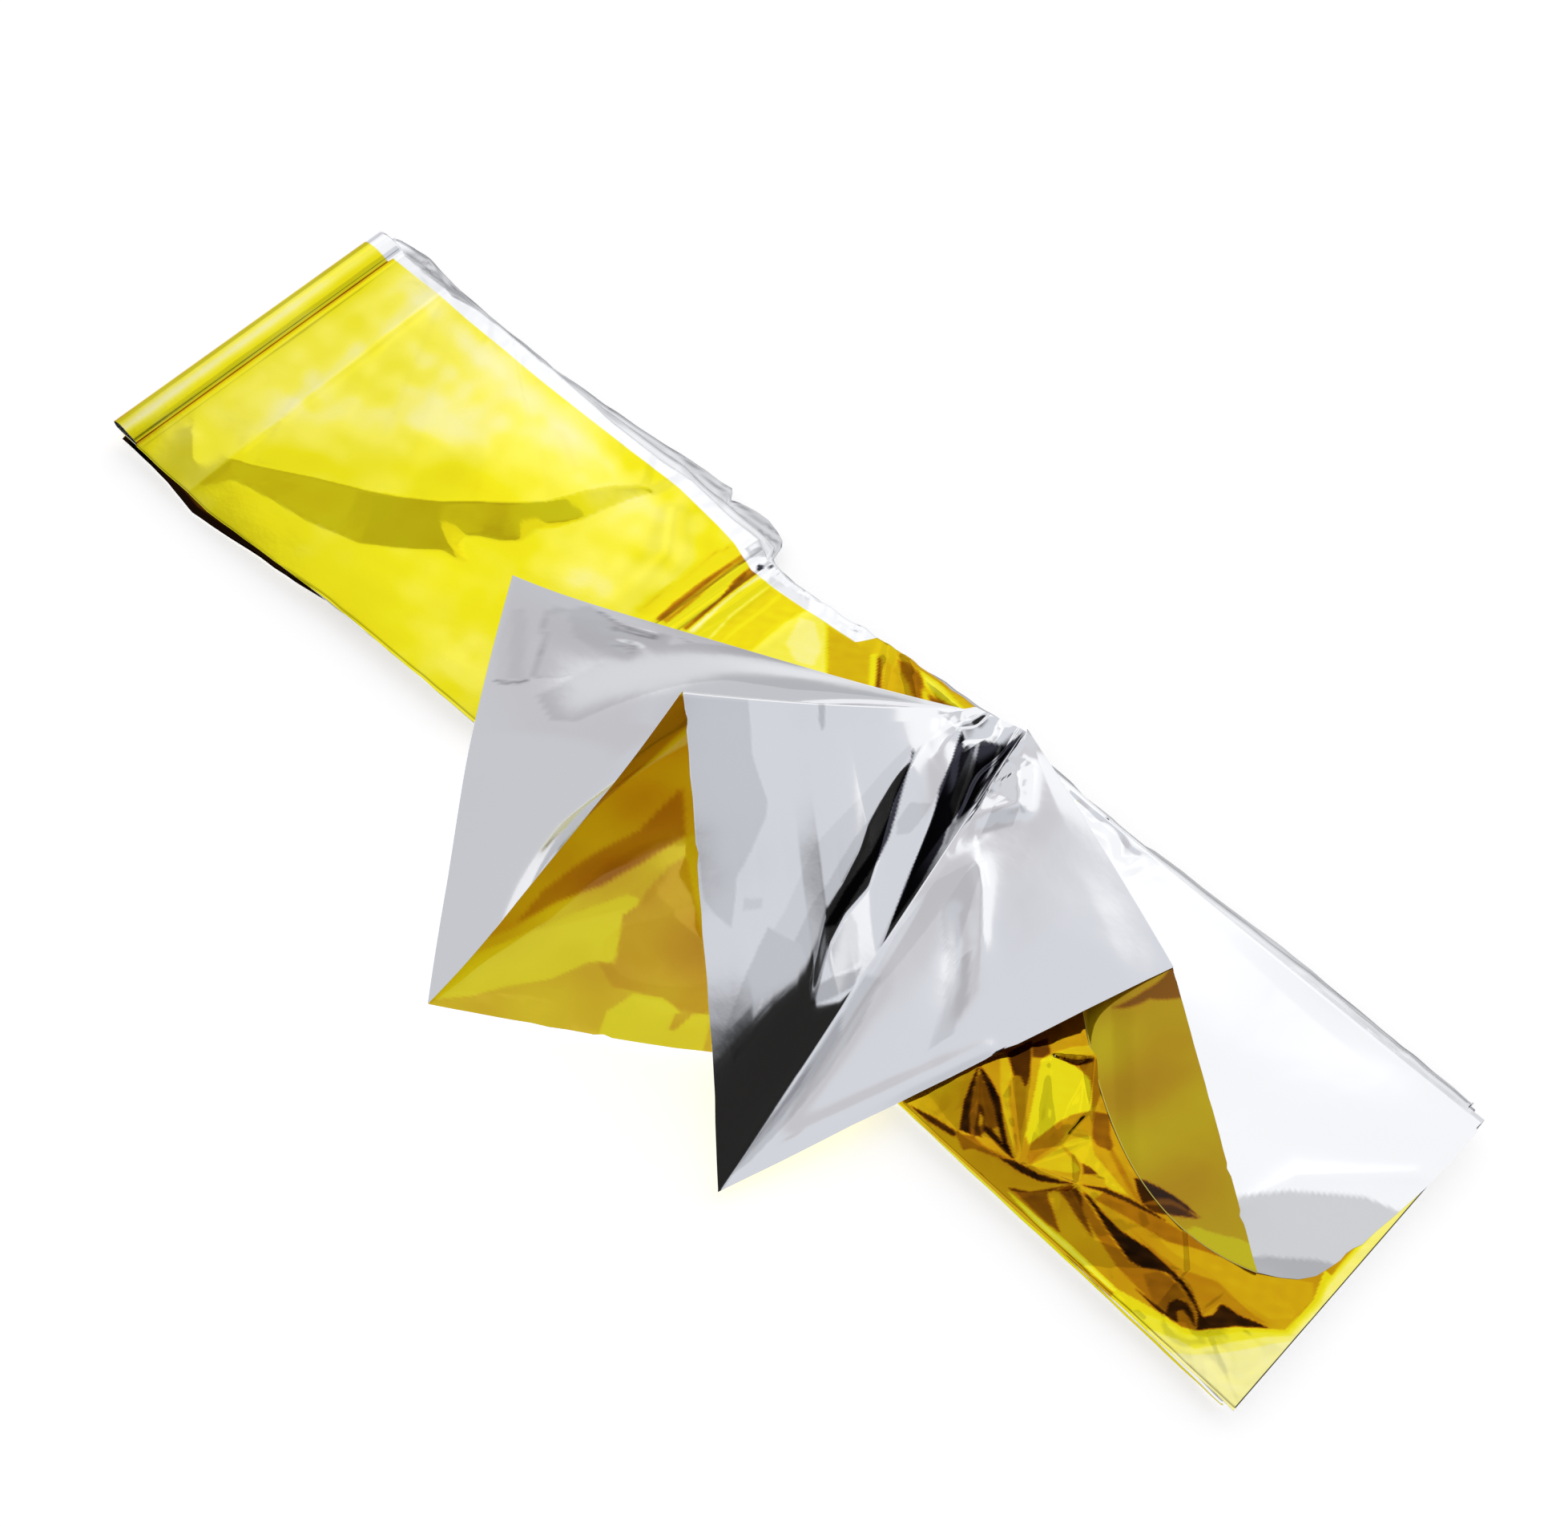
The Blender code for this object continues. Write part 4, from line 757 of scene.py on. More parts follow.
def panel_relief(name, points):
    """Heights of a panel's folds and waves. A fold's corners are given in the panel's own s and t."""
    flat = flattened(points)
    count, last = points.shape[0] - 1, points.shape[1] - 1
    s, t = np.linspace(0, 1, count + 1)[:, None], np.linspace(0, 1, last + 1)[None, :]
    height = waves(flat[..., 0], flat[..., 1], 10 + len(name), 45.0, 0.12)
    for row in PANEL_FOLDS:
        if row["panel"] == name:
            path = [flat[round(place[0] * count), round(place[1] * last)] for place in row["path"]]
            height += fold(flat, path, row["heights"], row["left"], row["right"], row["sharp"])
    if name == "pleats":
        part = (5.0 * s + 0.35 * np.sin(9 * s) + 0.25 * np.sin(40 * t)) % 1.0
        saw = np.where(part < 0.8, part / 0.8, (1.0 - part) / 0.2) - 0.5
        height += 0.7 * smooth((0.22 - t) / 0.12) * smooth((0.75 - s) / 0.1) * smooth(t / 0.012) * saw
    if name == "right":
        lip = smooth((0.30 - t) / 0.08) * smooth((s - 0.25) / 0.15)
        height += lip * facets(flat[..., 0], flat[..., 1], 31, 4.0, 0.40)
    if name == "flap":
        puckered = smooth((0.30 - t) / 0.12) * smooth((0.35 - s) / 0.15)
        height += puckered * facets(flat[..., 0], flat[..., 1], 33, 5.0, 0.5)
    height = height * np.minimum(1.0, 10 * np.minimum(s, 1 - s))
    return height + pleats(s, t) if name == "pleats" else height


def panel(name, *shape, **bows):
    """One panel of the fan: a ruled surface, moved along its own normals by its relief."""
    base = ruled(*shape, **bows)
    return base + normals(base) * panel_relief(name, base)[..., None]


# Outlines over a panel's s and t of painted reflections and shade: the lacquer's tone on the gold ones, and how dark
# the silver ones are drawn.
PANEL_PAINTED_LIGHT = table("panel value corners", [
    ("lowest", 0.57, "0 0.96, 0.04 0.9, 0.15 0.76, 0.26 0.58, 0.35 0.43, 0.39 0.31, 0.42 0.14, 0.6 0.1, 0.7 0.4, 0.56 0.49, "
                     "0.49 0.58, 0.41 0.66, 0.3 0.72, 0.21 0.79, 0.1 0.85, 0.01 0.96"),
    ("lowest", 0.72, "0.21 0.78, 0.26 0.7, 0.34 0.62, 0.45 0.51, 0.51 0.37, 0.56 0.49, 0.49 0.58, 0.41 0.66, 0.3 0.72, "
                     "0.24 0.76"),
    ("lowest", 0.50, "0.21 0.79, 0.3 0.73, 0.41 0.67, 0.49 0.58, 0.57 0.5, 0.58 0.54, 0.53 0.59, 0.48 0.67, 0.33 0.75, "
                     "0.18 0.83, 0.03 0.95, 0 0.96, 0.1 0.85"),
    ("lowest", 0.40, "0 0.99, 0.01 0.96, 0.1 0.88, 0.26 0.79, 0.41 0.71, 0.48 0.67, 0.53 0.68, 0.5 0.7, 0.48 0.72, "
                     "0.51 0.8, 0.48 0.83, 0.42 0.84, 0.33 0.89, 0.23 0.92, 0.13 0.96, 0.01 0.99"),
    ("lowest", 0.60, "0.52 0.65, 0.55 0.58, 0.58 0.54, 0.81 0.91, 0.74 0.92, 0.65 0.89, 0.51 0.88, 0.45 0.83, 0.5 0.83, "
                     "0.49 0.78, 0.48 0.72, 0.51 0.69"),
    ("lowest", 0.54, "0 0.99, 0.13 0.96, 0.23 0.93, 0.33 0.89, 0.42 0.84, 0.45 0.83, 0.51 0.88, 0.58 0.9, 0.52 0.94, "
                     "0.51 0.98, 0.48 1, 0.24 1, 0.03 1"),
    ("lowest", 0.38, "0.52 1, 0.52 0.94, 0.58 0.89, 0.66 0.89, 0.74 0.92, 0.81 0.91, 0.86 1.1"),
    ("lowest", 0.56, "0.71 0.96, 0.71 0.92, 0.74 0.91, 0.76 0.92, 0.73 0.96"),
    ("lining", 0.80, "0.6 0.7, 0.72 0.78, 1 0.99, 0.99 1.1, 0.71 0.8, 0.46 0.62, 0.4 0.58"),
    ("lining", 0.45, "-0.1 0.8, 0.04 0.88, 0.09 0.98, 0.08 1.1, -0.1 1.1"),
    ("left", 0.17, "1 0.003, 0.947 0, 0.863 0, 0.807 0.007, 0.853 0.037, 0.88 0.037, 0.897 0.06, "
        "0.89 0.14, 0.877 0.253, 0.97 0.27, 0.99 0.193"),
    ("left", 0.23, "0.977 0.083, 0.95 0.07, 0.93 0.123, 0.907 0.26, 0.943 0.263, 0.963 0.163"),
    ("left", 0.28, "0.897 0.06, 0.88 0.037, 0.853 0.037, 0.807 0.007, 0.783 0.013, 0.733 0.037, "
        "0.66 0.037, 0.62 0.027, 0.573 0.09, 0.62 0.147, 0.687 0.19, 0.763 0.223, 0.817 0.247, "
        "0.877 0.253, 0.89 0.14"),
    ("left", 0.22, "0.887 0.15, 0.897 0.077, 0.853 0.043, 0.82 0.113, 0.76 0.14, 0.713 0.183, 0.763 0.22, "
        "0.82 0.243, 0.873 0.247"),
    ("left", 0.30, "0.843 0.057, 0.77 0.04, 0.723 0.09, 0.72 0.117, 0.76 0.133, 0.813 0.113"),
    ("left", 0.52, "0.893 0.057, 0.897 0.107, 0.887 0.147, 0.88 0.253, 0.873 0.253, 0.883 0.147, "
        "0.89 0.107, 0.89 0.06"),
    ("left", 0.58, "0.973 0.267, 0.947 0.27, 0.913 0.267, 0.89 0.257, 0.887 0.263, 0.91 0.273, "
        "0.947 0.277, 0.97 0.273"),
    ("left", 0.6, "0.747 0.06, 0.733 0.05, 0.683 0.043, 0.653 0.043, 0.637 0.05, 0.64 0.06, 0.677 0.063, "
        "0.723 0.063, 0.74 0.067"),
    ("left", 0.3, "0.74 0.06, 0.727 0.053, 0.687 0.05, 0.657 0.047, 0.643 0.053, 0.68 0.057, 0.727 0.06"),
    ("left", 0.58, "0.783 0.013, 0.76 0.023, 0.733 0.037, 0.703 0.037, 0.68 0.037, 0.68 0.04, "
        "0.707 0.043, 0.733 0.043, 0.76 0.03, 0.78 0.02"),
    ("left", 0.62, "0.697 0.087, 0.667 0.1, 0.683 0.12, 0.67 0.15, 0.677 0.15, 0.687 0.12, 0.677 0.103, "
        "0.697 0.093"),
    ("left", 0.52, "0.72 0.117, 0.71 0.107, 0.69 0.107, 0.69 0.113, 0.707 0.113, 0.717 0.123"),
    ("left", 0.5, "0.653 0.11, 0.62 0.107, 0.62 0.113, 0.65 0.117"),
    ("left", 0.12, "0.617 0.047, 0.6 0.023, 0.57 0.037, 0.527 0.063, 0.553 0.08, 0.597 0.083"),
    ("left", 0.46, "0.6 0.023, 0.547 0.047, 0.503 0.067, 0.503 0.073, 0.547 0.057, 0.57 0.043"),
    ("pleats", 0.17, "0.993 1, 0.993 0.78, 0.917 0.783, 0.85 0.79, 0.72 0.757, 0.68 0.767, 0.613 0.827, "
        "0.573 0.88, 0.527 0.89, 0.473 0.91, 0.523 0.957, 0.563 0.987, 0.723 1, 0.857 1"),
    ("pleats", 0.28, "1 0.533, 1 0.51, 0.913 0.523, 0.897 0.537, 0.94 0.54"),
    ("pleats", 0.09, "0.53 0.613, 0.6 0.437, 0.733 0.25, 0.697 0.243, 0.507 0.397, 0.397 0.5, 0.293 0.6, "
        "0.24 0.663, 0.213 0.803, 0.197 0.913, 0.277 0.947, 0.353 0.85, 0.42 0.733"),
    ("pleats", 0.24, "0.373 0.643, 0.387 0.587, 0.46 0.49, 0.507 0.397, 0.4 0.457, 0.273 0.58, "
        "0.22 0.663, 0.247 0.767, 0.237 0.843, 0.217 0.91, 0.277 0.797, 0.323 0.717"),
    ("pleats", 0.12, "0.517 0.863, 0.487 0.803, 0.467 0.81, 0.493 0.87"),
    ("pleats", 0.16, "0.387 0.347, 0.423 0.3, 0.313 0.25, 0.287 0.277, 0.28 0.323, 0.333 0.357"),
    ("pleats", 0.16, "0.187 0.613, 0.23 0.523, 0.167 0.51, 0.047 0.523, 0.107 0.603"),
    ("pleats", 0.36, "0.147 0.663, 0.107 0.603, 0.02 0.52, 0.003 0.553, 0.117 0.69"),
    ("right", 0.15, "0.763 0.373, 0.613 0.353, 0.57 0.39, 0.57 0.48, 0.58 0.61, 0.523 0.723, 0.51 0.867, "
        "0.57 0.88, 0.563 0.75, 0.607 0.6, 0.743 0.427"),
    ("right", 0.09, "0.96 0.433, 0.9 0.33, 0.647 0.337, 0.687 0.377, 0.767 0.47, 0.867 0.593, 0.913 0.74, "
        "0.93 0.813, 0.92 0.633"),
    ("right", 0.22, "0.66 0.197, 0.373 0.247, 0.413 0.29, 0.683 0.26"),
    ("right", 0.2, "0.55 0.63, 0.517 0.627, 0.49 0.787, 0.513 0.847, 0.537 0.727"),
    ("pleats", 0.97, "0.626 0.102, 0.427 0.126, 0.382 0.06, 0.107 0.036, 0 0, 0 0.018, 0.008 0.06, "
        "0 0.102, 0 0.144, 0.046 0.186, 0.092 0.228, 0.046 0.251, 0.015 0.323, 0.015 0.413, 0.023 0.431, "
        "0.122 0.347, 0.168 0.305, 0.237 0.257, 0.351 0.222, 0.458 0.162"),
    ("right", 0.97, "1 0.054, 1 0.078, 1 0.048, 1 0.036, 1 0, 0.759 0.024, 1 0.06, 0.964 0.108, "
        "0.94 0.15, 1 0.18, 1 0.21, 1 0.246, 1 0.317, 1 0.407, 1 0.425, 1 0.317, 1 0.263, 1 0.21, "
        "1 0.162, 1 0.102"),
    ("pleats", 0.8, "0.405 0.102, 0.244 0.114, 0.137 0.162, 0.13 0.204, 0.206 0.204, 0.305 0.156"),
    ("pleats", 0.35, "0.412 0.084, 0.382 0.078, 0.198 0.132, 0.137 0.18, 0.031 0.216, 0.008 0.24, "
        "0.031 0.246, 0.084 0.216, 0.191 0.168, 0.267 0.132"),
    ("pleats", 0.5, "0.168 0.048, 0.13 0.048, 0.038 0.096, 0.008 0.144, 0.038 0.15, 0.069 0.102"),
    ("pleats", 0.96, "0.71 0.246, 0.641 0.263, 0.527 0.329, 0.443 0.365, 0.397 0.401, 0.359 0.443, "
        "0.336 0.497, 0.321 0.533, 0.298 0.569, 0.275 0.617, 0.237 0.569, 0.275 0.491, 0.305 0.419, "
        "0.351 0.377, 0.427 0.341, 0.55 0.293, 0.672 0.246"),
    ("right", 0.22, "0.988 0.521, 0.964 0.665, 0.976 0.778, 0.988 0.874, 1 0.97, 0.964 0.952, 0.916 0.88, "
        "0.88 0.796, 0.855 0.677, 0.88 0.563"),
    ("right", 0.42, "0.976 0.611, 0.976 0.713, 0.988 0.808, 1 0.886, 1 0.97, 0.988 0.94, 0.952 0.868, "
        "0.928 0.784, 0.916 0.683"),
    ("right", 0.6, "0.976 0.695, 0.976 0.778, 0.988 0.856, 1 0.97, 1 0.94, 0.976 0.856, 0.952 0.778"),
    ("pleats", 0.20, "0.412 0.796, 0.298 0.701, 0.214 0.683, 0.214 0.754, 0.267 0.838, 0.229 0.886, "
        "0.198 0.934, 0.282 0.958, 0.351 0.88"),
    ("left", 0.27, "0.855 0.305, 0.812 0.269, 0.725 0.174, 0.638 0.096, 0.565 0.036, 0.478 0, 0.304 0, "
        "0.072 0.012, 0.043 0.066, 0.275 0.168, 0.435 0.174, 0.522 0.228, 0.623 0.311, 0.725 0.389, "
        "0.797 0.377"),
    ("flap", 0.33, "0.775 0.84, 0.652 0.878, 0.5 0.955, 0.42 1.1, 1.1 1.1, 1.1 0.81, 0.9 0.825"),
    ("flap", 0.54, "1.1 0.925, 0.9 0.94, 0.8 0.985, 0.76 1.1, 1.1 1.1"),
])


def panel_values(name, base):
    """Tone and painted darkness over a panel, with painted reflections and shade: its own mean value with soft waves,
    then its outlines.
    """
    flat = flattened(base)
    shape = base.shape[:2]
    s, t = np.meshgrid(np.linspace(0, 1, shape[0]), np.linspace(0, 1, shape[1]), indexing="ij")
    cell = (1 / shape[0], 1 / shape[1])
    rows = [row for row in PANEL_PAINTED_LIGHT if row["panel"] == name]
    tone, painted_dark = np.full(shape, 0.08), np.zeros(shape)
    # painted shade and reflections: the lining and the lowest panel are drawn deeper than the rest of the gold
    if name in ("lining", "lowest"):
        tone = painted(s, t, {"lining": 0.565, "lowest": 0.52}[name], rows, cell)
        tone = tone + waves(flat[..., 0], flat[..., 1], 90 + len(name), 24.0, 0.02)
    else:
        painted_dark = painted(s, t, {"left": 0.12}.get(name, 0.0), rows, cell)
    # painted shade: the left panel's gold back is drawn darker near its outer edge, on the half by the left ridge
    if name == "left":
        tone = tone + 0.60 * smooth((t - 0.80) / 0.10) * smooth((0.5 - s) / 0.15)
    # painted reflections: the crushed corner's cracks run on under the flap's lining
    if name == "lining":
        cracks = [row for row in CORNER_PAINTED_LIGHT if row["place"].startswith("crack")]
        tone = painted(base[..., 0], base[..., 1], tone, cracks, (0.5, 0.5))
    return np.clip(tone, 0, 1), painted_dark


def notched(grid):
    """Moves the outer free edge of a grid in and out by a little, with a few deeper notches."""
    rows = np.arange(len(grid))
    inward = grid[:, -4] - grid[:, -1]
    inward /= np.linalg.norm(inward, axis=1)[:, None]
    draw = np.random.default_rng(97)
    depth = 0.12 * np.interp(rows, rows[::6], draw.uniform(-1, 1, len(rows[::6])))
    depth += 0.5 * np.interp(rows, rows[::3], draw.uniform(0, 1, len(rows[::3])) > 0.94)
    grid[:, -1] += inward * depth[:, None]
    return grid


def fan_surface():
    """Grid of points over the flap, every panel of the fan and every fold between them, its tones and painted
    darkness, and the rows of its parts: the flap with its lining, the pleats, and the lowest panel."""
    root, flap_turn, right_ridge = (crease_line(name) for name in ("flap root", "flap turn", "right ridge"))
    valley, left_ridge = crease_line("valley"), crease_line("left ridge")
    left_turn, hidden_end = crease_line("left turn"), crease_line("hidden end")
    left_turn[:, 2] = drape(left_turn[:, 1])
    under_root = raised(root, TOP_RUN + 0.15 - FLAP_HEIGHT)
    lowest = ruled(left_turn, hidden_end, 110)
    lowest[..., 2] = drape(lowest[..., 1])
    lowest = lowest + normals(lowest) * np.abs(panel_relief("lowest", lowest))[..., None]
    parts = [
        ("root", np.stack([under_root + np.array([0.0, -2.0, 0.0]), under_root])),
        ("root", sharp_fold(under_root, root, 1)),
        ("flap", panel("flap", root, flap_turn, 90, edge_bow=(8.0, 0.3, -0.38), shape=FLAP_END)),
        ("turn", sharp_fold(flap_turn, raised(flap_turn, NARROW), -1)),
        ("lining", panel("lining", raised(flap_turn, NARROW), right_ridge, 140)),
        ("turn", sharp_fold(right_ridge, raised(right_ridge, NARROW), 1)),
        ("right", panel("right", raised(right_ridge, NARROW), valley, 84)),
        ("pleats", panel("pleats", valley, left_ridge, 132)[1:]),
        ("left", panel("left", left_ridge, raised(left_turn, NARROW), 70, edge_bow=(0, 0, -3.0),
                       root_bow=(1.2, -3.1, 3.0))[1:]),
        ("turn", sharp_fold(raised(left_turn, NARROW), left_turn, -1)),
        ("lowest", lowest),
    ]
    tones, painted_darks = zip(*[panel_values(name, part) for name, part in parts])
    starts = np.cumsum([0] + [len(part) for _, part in parts])
    rows = [slice(starts[first], starts[last] + 1) for first, last in ((0, 6), (6, 9), (9, len(parts)))]
    return notched(np.concatenate([part for _, part in parts])), np.concatenate(tones), np.concatenate(painted_darks), rows


# %% [markdown]
# ## From numbers to meshes
#
# A grid becomes a mesh of four-sided faces in one call. The Solidify modifier then gives the film its two faces,
# and each face takes its own material: this is how one film is gold on one side and silver on the other.

# %% Film meshes
def film_piece(name, grid, film, tone, front, back, painted_dark=None, crisp=False):
    """Mesh of a grid of points with a UV map in metres on the film, its gold's tone and its silver's darkness, both
    with painted reflections and shade, thickened into a front and a back face. Crisp cut edges are shaded evenly right
    up to the edge; the others catch a fine line of their own."""
    rows, columns = grid.shape[:2]
    corner = (np.arange(rows - 1)[:, None] * columns + np.arange(columns - 1)).ravel()
    faces = np.stack([corner, corner + columns, corner + columns + 1, corner + 1], 1)
    mesh = bpy.data.meshes.new(name)
    mesh.from_pydata(((grid + STRIP_ZERO) * MM).reshape(-1, 3).tolist(), [], faces.tolist())
    uv = mesh.uv_layers.new(name="film")
    uv.data.foreach_set("uv", (film * MM).reshape(-1, 2)[faces.ravel()].ravel())
    # the lacquer's tone, with painted reflections, highlights and shade, and the silver's painted shade
    mesh.attributes.new("lacquer_and_painted_light", "FLOAT", "POINT").data.foreach_set("value", tone.ravel())
    painted_dark = np.zeros(grid.shape[:2]) if painted_dark is None else painted_dark
    mesh.attributes.new("painted_darkness", "FLOAT", "POINT").data.foreach_set("value", painted_dark.ravel())
    mesh.shade_smooth()
    ends = np.empty(len(mesh.edges) * 2, np.int32)
    mesh.edges.foreach_get("vertices", ends)
    row, column = np.divmod(ends.reshape(-1, 2), columns)
    cut = [(place == end).all(1) for place, last in ((row, rows - 1), (column, columns - 1)) for end in (0, last)]
    mesh.attributes.new("sharp_edge", "BOOLEAN", "EDGE").data.foreach_set("value", np.any(cut, 0) & crisp)
    piece = bpy.data.objects.new(name, mesh)
    bpy.context.scene.collection.objects.link(piece)
    mesh.materials.append(front)
    mesh.materials.append(back)
    shell = piece.modifiers.new("film", "SOLIDIFY")
    shell.thickness = FILM * MM
    shell.offset = 0.0
    shell.material_offset = 1
    shell.material_offset_rim = 0
    print(name, "has", len(faces) * 4, "triangles")
    return piece


# %% [markdown]
# ## Film finishes
#
# Both faces are metal mirrors. What tells them apart is the metal's colour and how finely the film is wrinkled.
# Reflections, highlights and shade are also painted into their colour: the gold's tone and the silver's darkness.

# %% Finishes
def add_node(tree, kind, **inputs):
    """A shader node with some of its inputs set by name."""
    node = tree.nodes.new(kind)
    for key, value in inputs.items():
        node.inputs[key.replace("_", " ")].default_value = value
    return node


def wrinkle_group():
    """Fine wrinkles of a thin film as a normal: broad and narrow noise, added, through a bump."""
    tree = bpy.data.node_groups.new("film wrinkles", "ShaderNodeTree")
    tree.interface.new_socket("Strength", in_out="INPUT", socket_type="NodeSocketFloat").default_value = 0.2
    tree.interface.new_socket("Normal", in_out="OUTPUT", socket_type="NodeSocketVector")
    entry, out = tree.nodes.new("NodeGroupInput"), tree.nodes.new("NodeGroupOutput")
    place = tree.nodes.new("ShaderNodeTexCoord")
    broad = add_node(tree, "ShaderNodeTexNoise", Scale=70.0, Detail=1.0, Distortion=0.4)
    narrow = add_node(tree, "ShaderNodeTexNoise", Scale=420.0, Detail=2.0)
    added = tree.nodes.new("ShaderNodeMath")
    added.operation = "MULTIPLY_ADD"
    added.inputs[1].default_value = 0.10
    bump = add_node(tree, "ShaderNodeBump", Distance=0.0006)
    for noise in (broad, narrow):
        tree.links.new(place.outputs["Object"], noise.inputs["Vector"])
    tree.links.new(narrow.outputs["Fac"], added.inputs[0])
    tree.links.new(broad.outputs["Fac"], added.inputs[2])
    tree.links.new(entry.outputs["Strength"], bump.inputs["Strength"])
    tree.links.new(added.outputs[0], bump.inputs["Height"])
    tree.links.new(bump.outputs["Normal"], out.inputs["Normal"])
    return tree


# tone to colour: plain gold lies in the middle; the pale lemon end is for painted highlights, the brown to near black
# end for painted reflections and shade
LACQUER_AND_PAINTED_LIGHT = table("place colour", [
    (0.00, (0.97, 0.92, 0.42)), (0.18, (0.93, 0.855, 0.10)), (0.34, (0.82, 0.745, 0.013)),
    (0.46, (0.78, 0.66, 0.009)), (0.60, (0.62, 0.37, 0.006)), (0.76, (0.42, 0.165, 0.004)),
    (0.90, (0.13, 0.04, 0.003)), (1.00, (0.012, 0.005, 0.002)),
])


def lacquer_and_light_group():
    """Colour and haze of the gold by its tone, which holds painted highlights, reflections and shade: the tone, broken
    up a little by noise, runs through a colour ramp from pale lemon to brown, and pale gold is hazier."""
    tree = bpy.data.node_groups.new("gold lacquer", "ShaderNodeTree")
    for name, start in (("Haze", 0.16), ("Unevenness", 0.05)):
        tree.interface.new_socket(name, in_out="INPUT", socket_type="NodeSocketFloat").default_value = start
    tree.interface.new_socket("Color", in_out="OUTPUT", socket_type="NodeSocketColor")
    tree.interface.new_socket("Roughness", in_out="OUTPUT", socket_type="NodeSocketFloat")
    entry, out = tree.nodes.new("NodeGroupInput"), tree.nodes.new("NodeGroupOutput")
    # the tone: the lacquer's unevenness plus painted reflections, highlights and shade
    tone = tree.nodes.new("ShaderNodeAttribute")
    tone.attribute_name = "lacquer_and_painted_light"
    place = tree.nodes.new("ShaderNodeTexCoord")
    noise = add_node(tree, "ShaderNodeTexNoise", Scale=60.0, Detail=3.0, Distortion=0.6)
    centred = tree.nodes.new("ShaderNodeMath")
    centred.operation = "SUBTRACT"
    centred.inputs[1].default_value = 0.5
    uneven = tree.nodes.new("ShaderNodeMath")
    uneven.operation = "MULTIPLY_ADD"
    ramp = tree.nodes.new("ShaderNodeValToRGB")
    stops = ramp.color_ramp.elements
    while len(stops) < len(LACQUER_AND_PAINTED_LIGHT):
        stops.new(0.5)
    for stop, row in zip(stops, LACQUER_AND_PAINTED_LIGHT):
        stop.position = row["place"]
        stop.color = (*row["colour"], 1.0)
    haze = add_node(tree, "ShaderNodeMapRange", From_Min=0.05, From_Max=0.40, To_Max=0.07)
    link = tree.links.new
    link(place.outputs["Object"], noise.inputs["Vector"])
    link(noise.outputs["Fac"], centred.inputs[0])
    link(centred.outputs[0], uneven.inputs[0])
    link(entry.outputs["Unevenness"], uneven.inputs[1])
    link(tone.outputs["Fac"], uneven.inputs[2])
    link(uneven.outputs[0], ramp.inputs["Fac"])
    link(uneven.outputs[0], haze.inputs["Value"])
    link(entry.outputs["Haze"], haze.inputs["To Min"])
    link(ramp.outputs["Color"], out.inputs["Color"])
    link(haze.outputs["Result"], out.inputs["Roughness"])
    return tree


WRINKLES, GOLD_LACQUER_AND_PAINTED_LIGHT = wrinkle_group(), lacquer_and_light_group()
# the second colour is a near black that the silver is mixed towards where shade and dark reflections are painted
SILVER, PAINTED_SHADE = (0.92, 0.93, 0.955, 1.0), (0.02, 0.02, 0.035, 1.0)


def place_group(tree, group, **inputs):
    """Puts a node group into a material with its own values."""
    node = tree.nodes.new("ShaderNodeGroup")
    node.node_tree = group
    for key, value in inputs.items():
        node.inputs[key].default_value = value
    return node


def film_finish(name, roughness, wrinkled):
    """A metal mirror with fine wrinkles."""
    material = bpy.data.materials.new(name)
    material.use_nodes = True
    tree = material.node_tree
    shader = tree.nodes["Principled BSDF"]
    shader.inputs["Metallic"].default_value = 1.0
    shader.inputs["Roughness"].default_value = roughness
    shader.inputs["Base Color"].default_value = SILVER
    wrinkles = place_group(tree, WRINKLES, Strength=wrinkled)
    tree.links.new(wrinkles.outputs["Normal"], shader.inputs["Normal"])
    return material


def painted_shade_mix(tree):
    """Silver mixed towards near black by the attribute painted_darkness: painted shade and dark reflections."""
    amount = tree.nodes.new("ShaderNodeAttribute")
    amount.attribute_name = "painted_darkness"
    mix = tree.nodes.new("ShaderNodeMix")
    mix.data_type = "RGBA"
    mix.inputs[6].default_value, mix.inputs[7].default_value = SILVER, PAINTED_SHADE
    tree.links.new(amount.outputs["Fac"], mix.inputs[0])
    return mix


def lacquered(material, haze, uneven, selvage=0.0):
    """Lays the gold lacquer over a silver finish. Along the film's own edge a bare selvage may stay."""
    tree = material.node_tree
    shader = tree.nodes["Principled BSDF"]
    lacquer_and_painted_light = place_group(tree, GOLD_LACQUER_AND_PAINTED_LIGHT, Haze=haze, Unevenness=uneven)
    tree.links.new(lacquer_and_painted_light.outputs["Roughness"], shader.inputs["Roughness"])
    tree.links.new(lacquer_and_painted_light.outputs["Color"], shader.inputs["Base Color"])
    if selvage:
        film = tree.nodes.new("ShaderNodeUVMap")
        film.uv_map = "film"
        split = tree.nodes.new("ShaderNodeSeparateXYZ")
        edge = add_node(tree, "ShaderNodeMapRange", From_Min=selvage * MM, From_Max=(selvage + 0.35) * MM)
        mix = tree.nodes.new("ShaderNodeMix")
        mix.data_type = "RGBA"
        bare = painted_shade_mix(tree)
        tree.links.new(bare.outputs[2], mix.inputs[6])
        tree.links.new(film.outputs["UV"], split.inputs["Vector"])
        tree.links.new(split.outputs["Y"], edge.inputs["Value"])
        tree.links.new(edge.outputs["Result"], mix.inputs[0])
        tree.links.new(lacquer_and_painted_light.outputs["Color"], mix.inputs[7])
        tree.links.new(mix.outputs[2], shader.inputs["Base Color"])
    return material


def with_painted_shade(material):
    """Darkens a silver finish by the piece's own painted darkness: painted shade and dark reflections."""
    tree = material.node_tree
    tree.links.new(painted_shade_mix(tree).outputs[2], tree.nodes["Principled BSDF"].inputs["Base Color"])
    return material


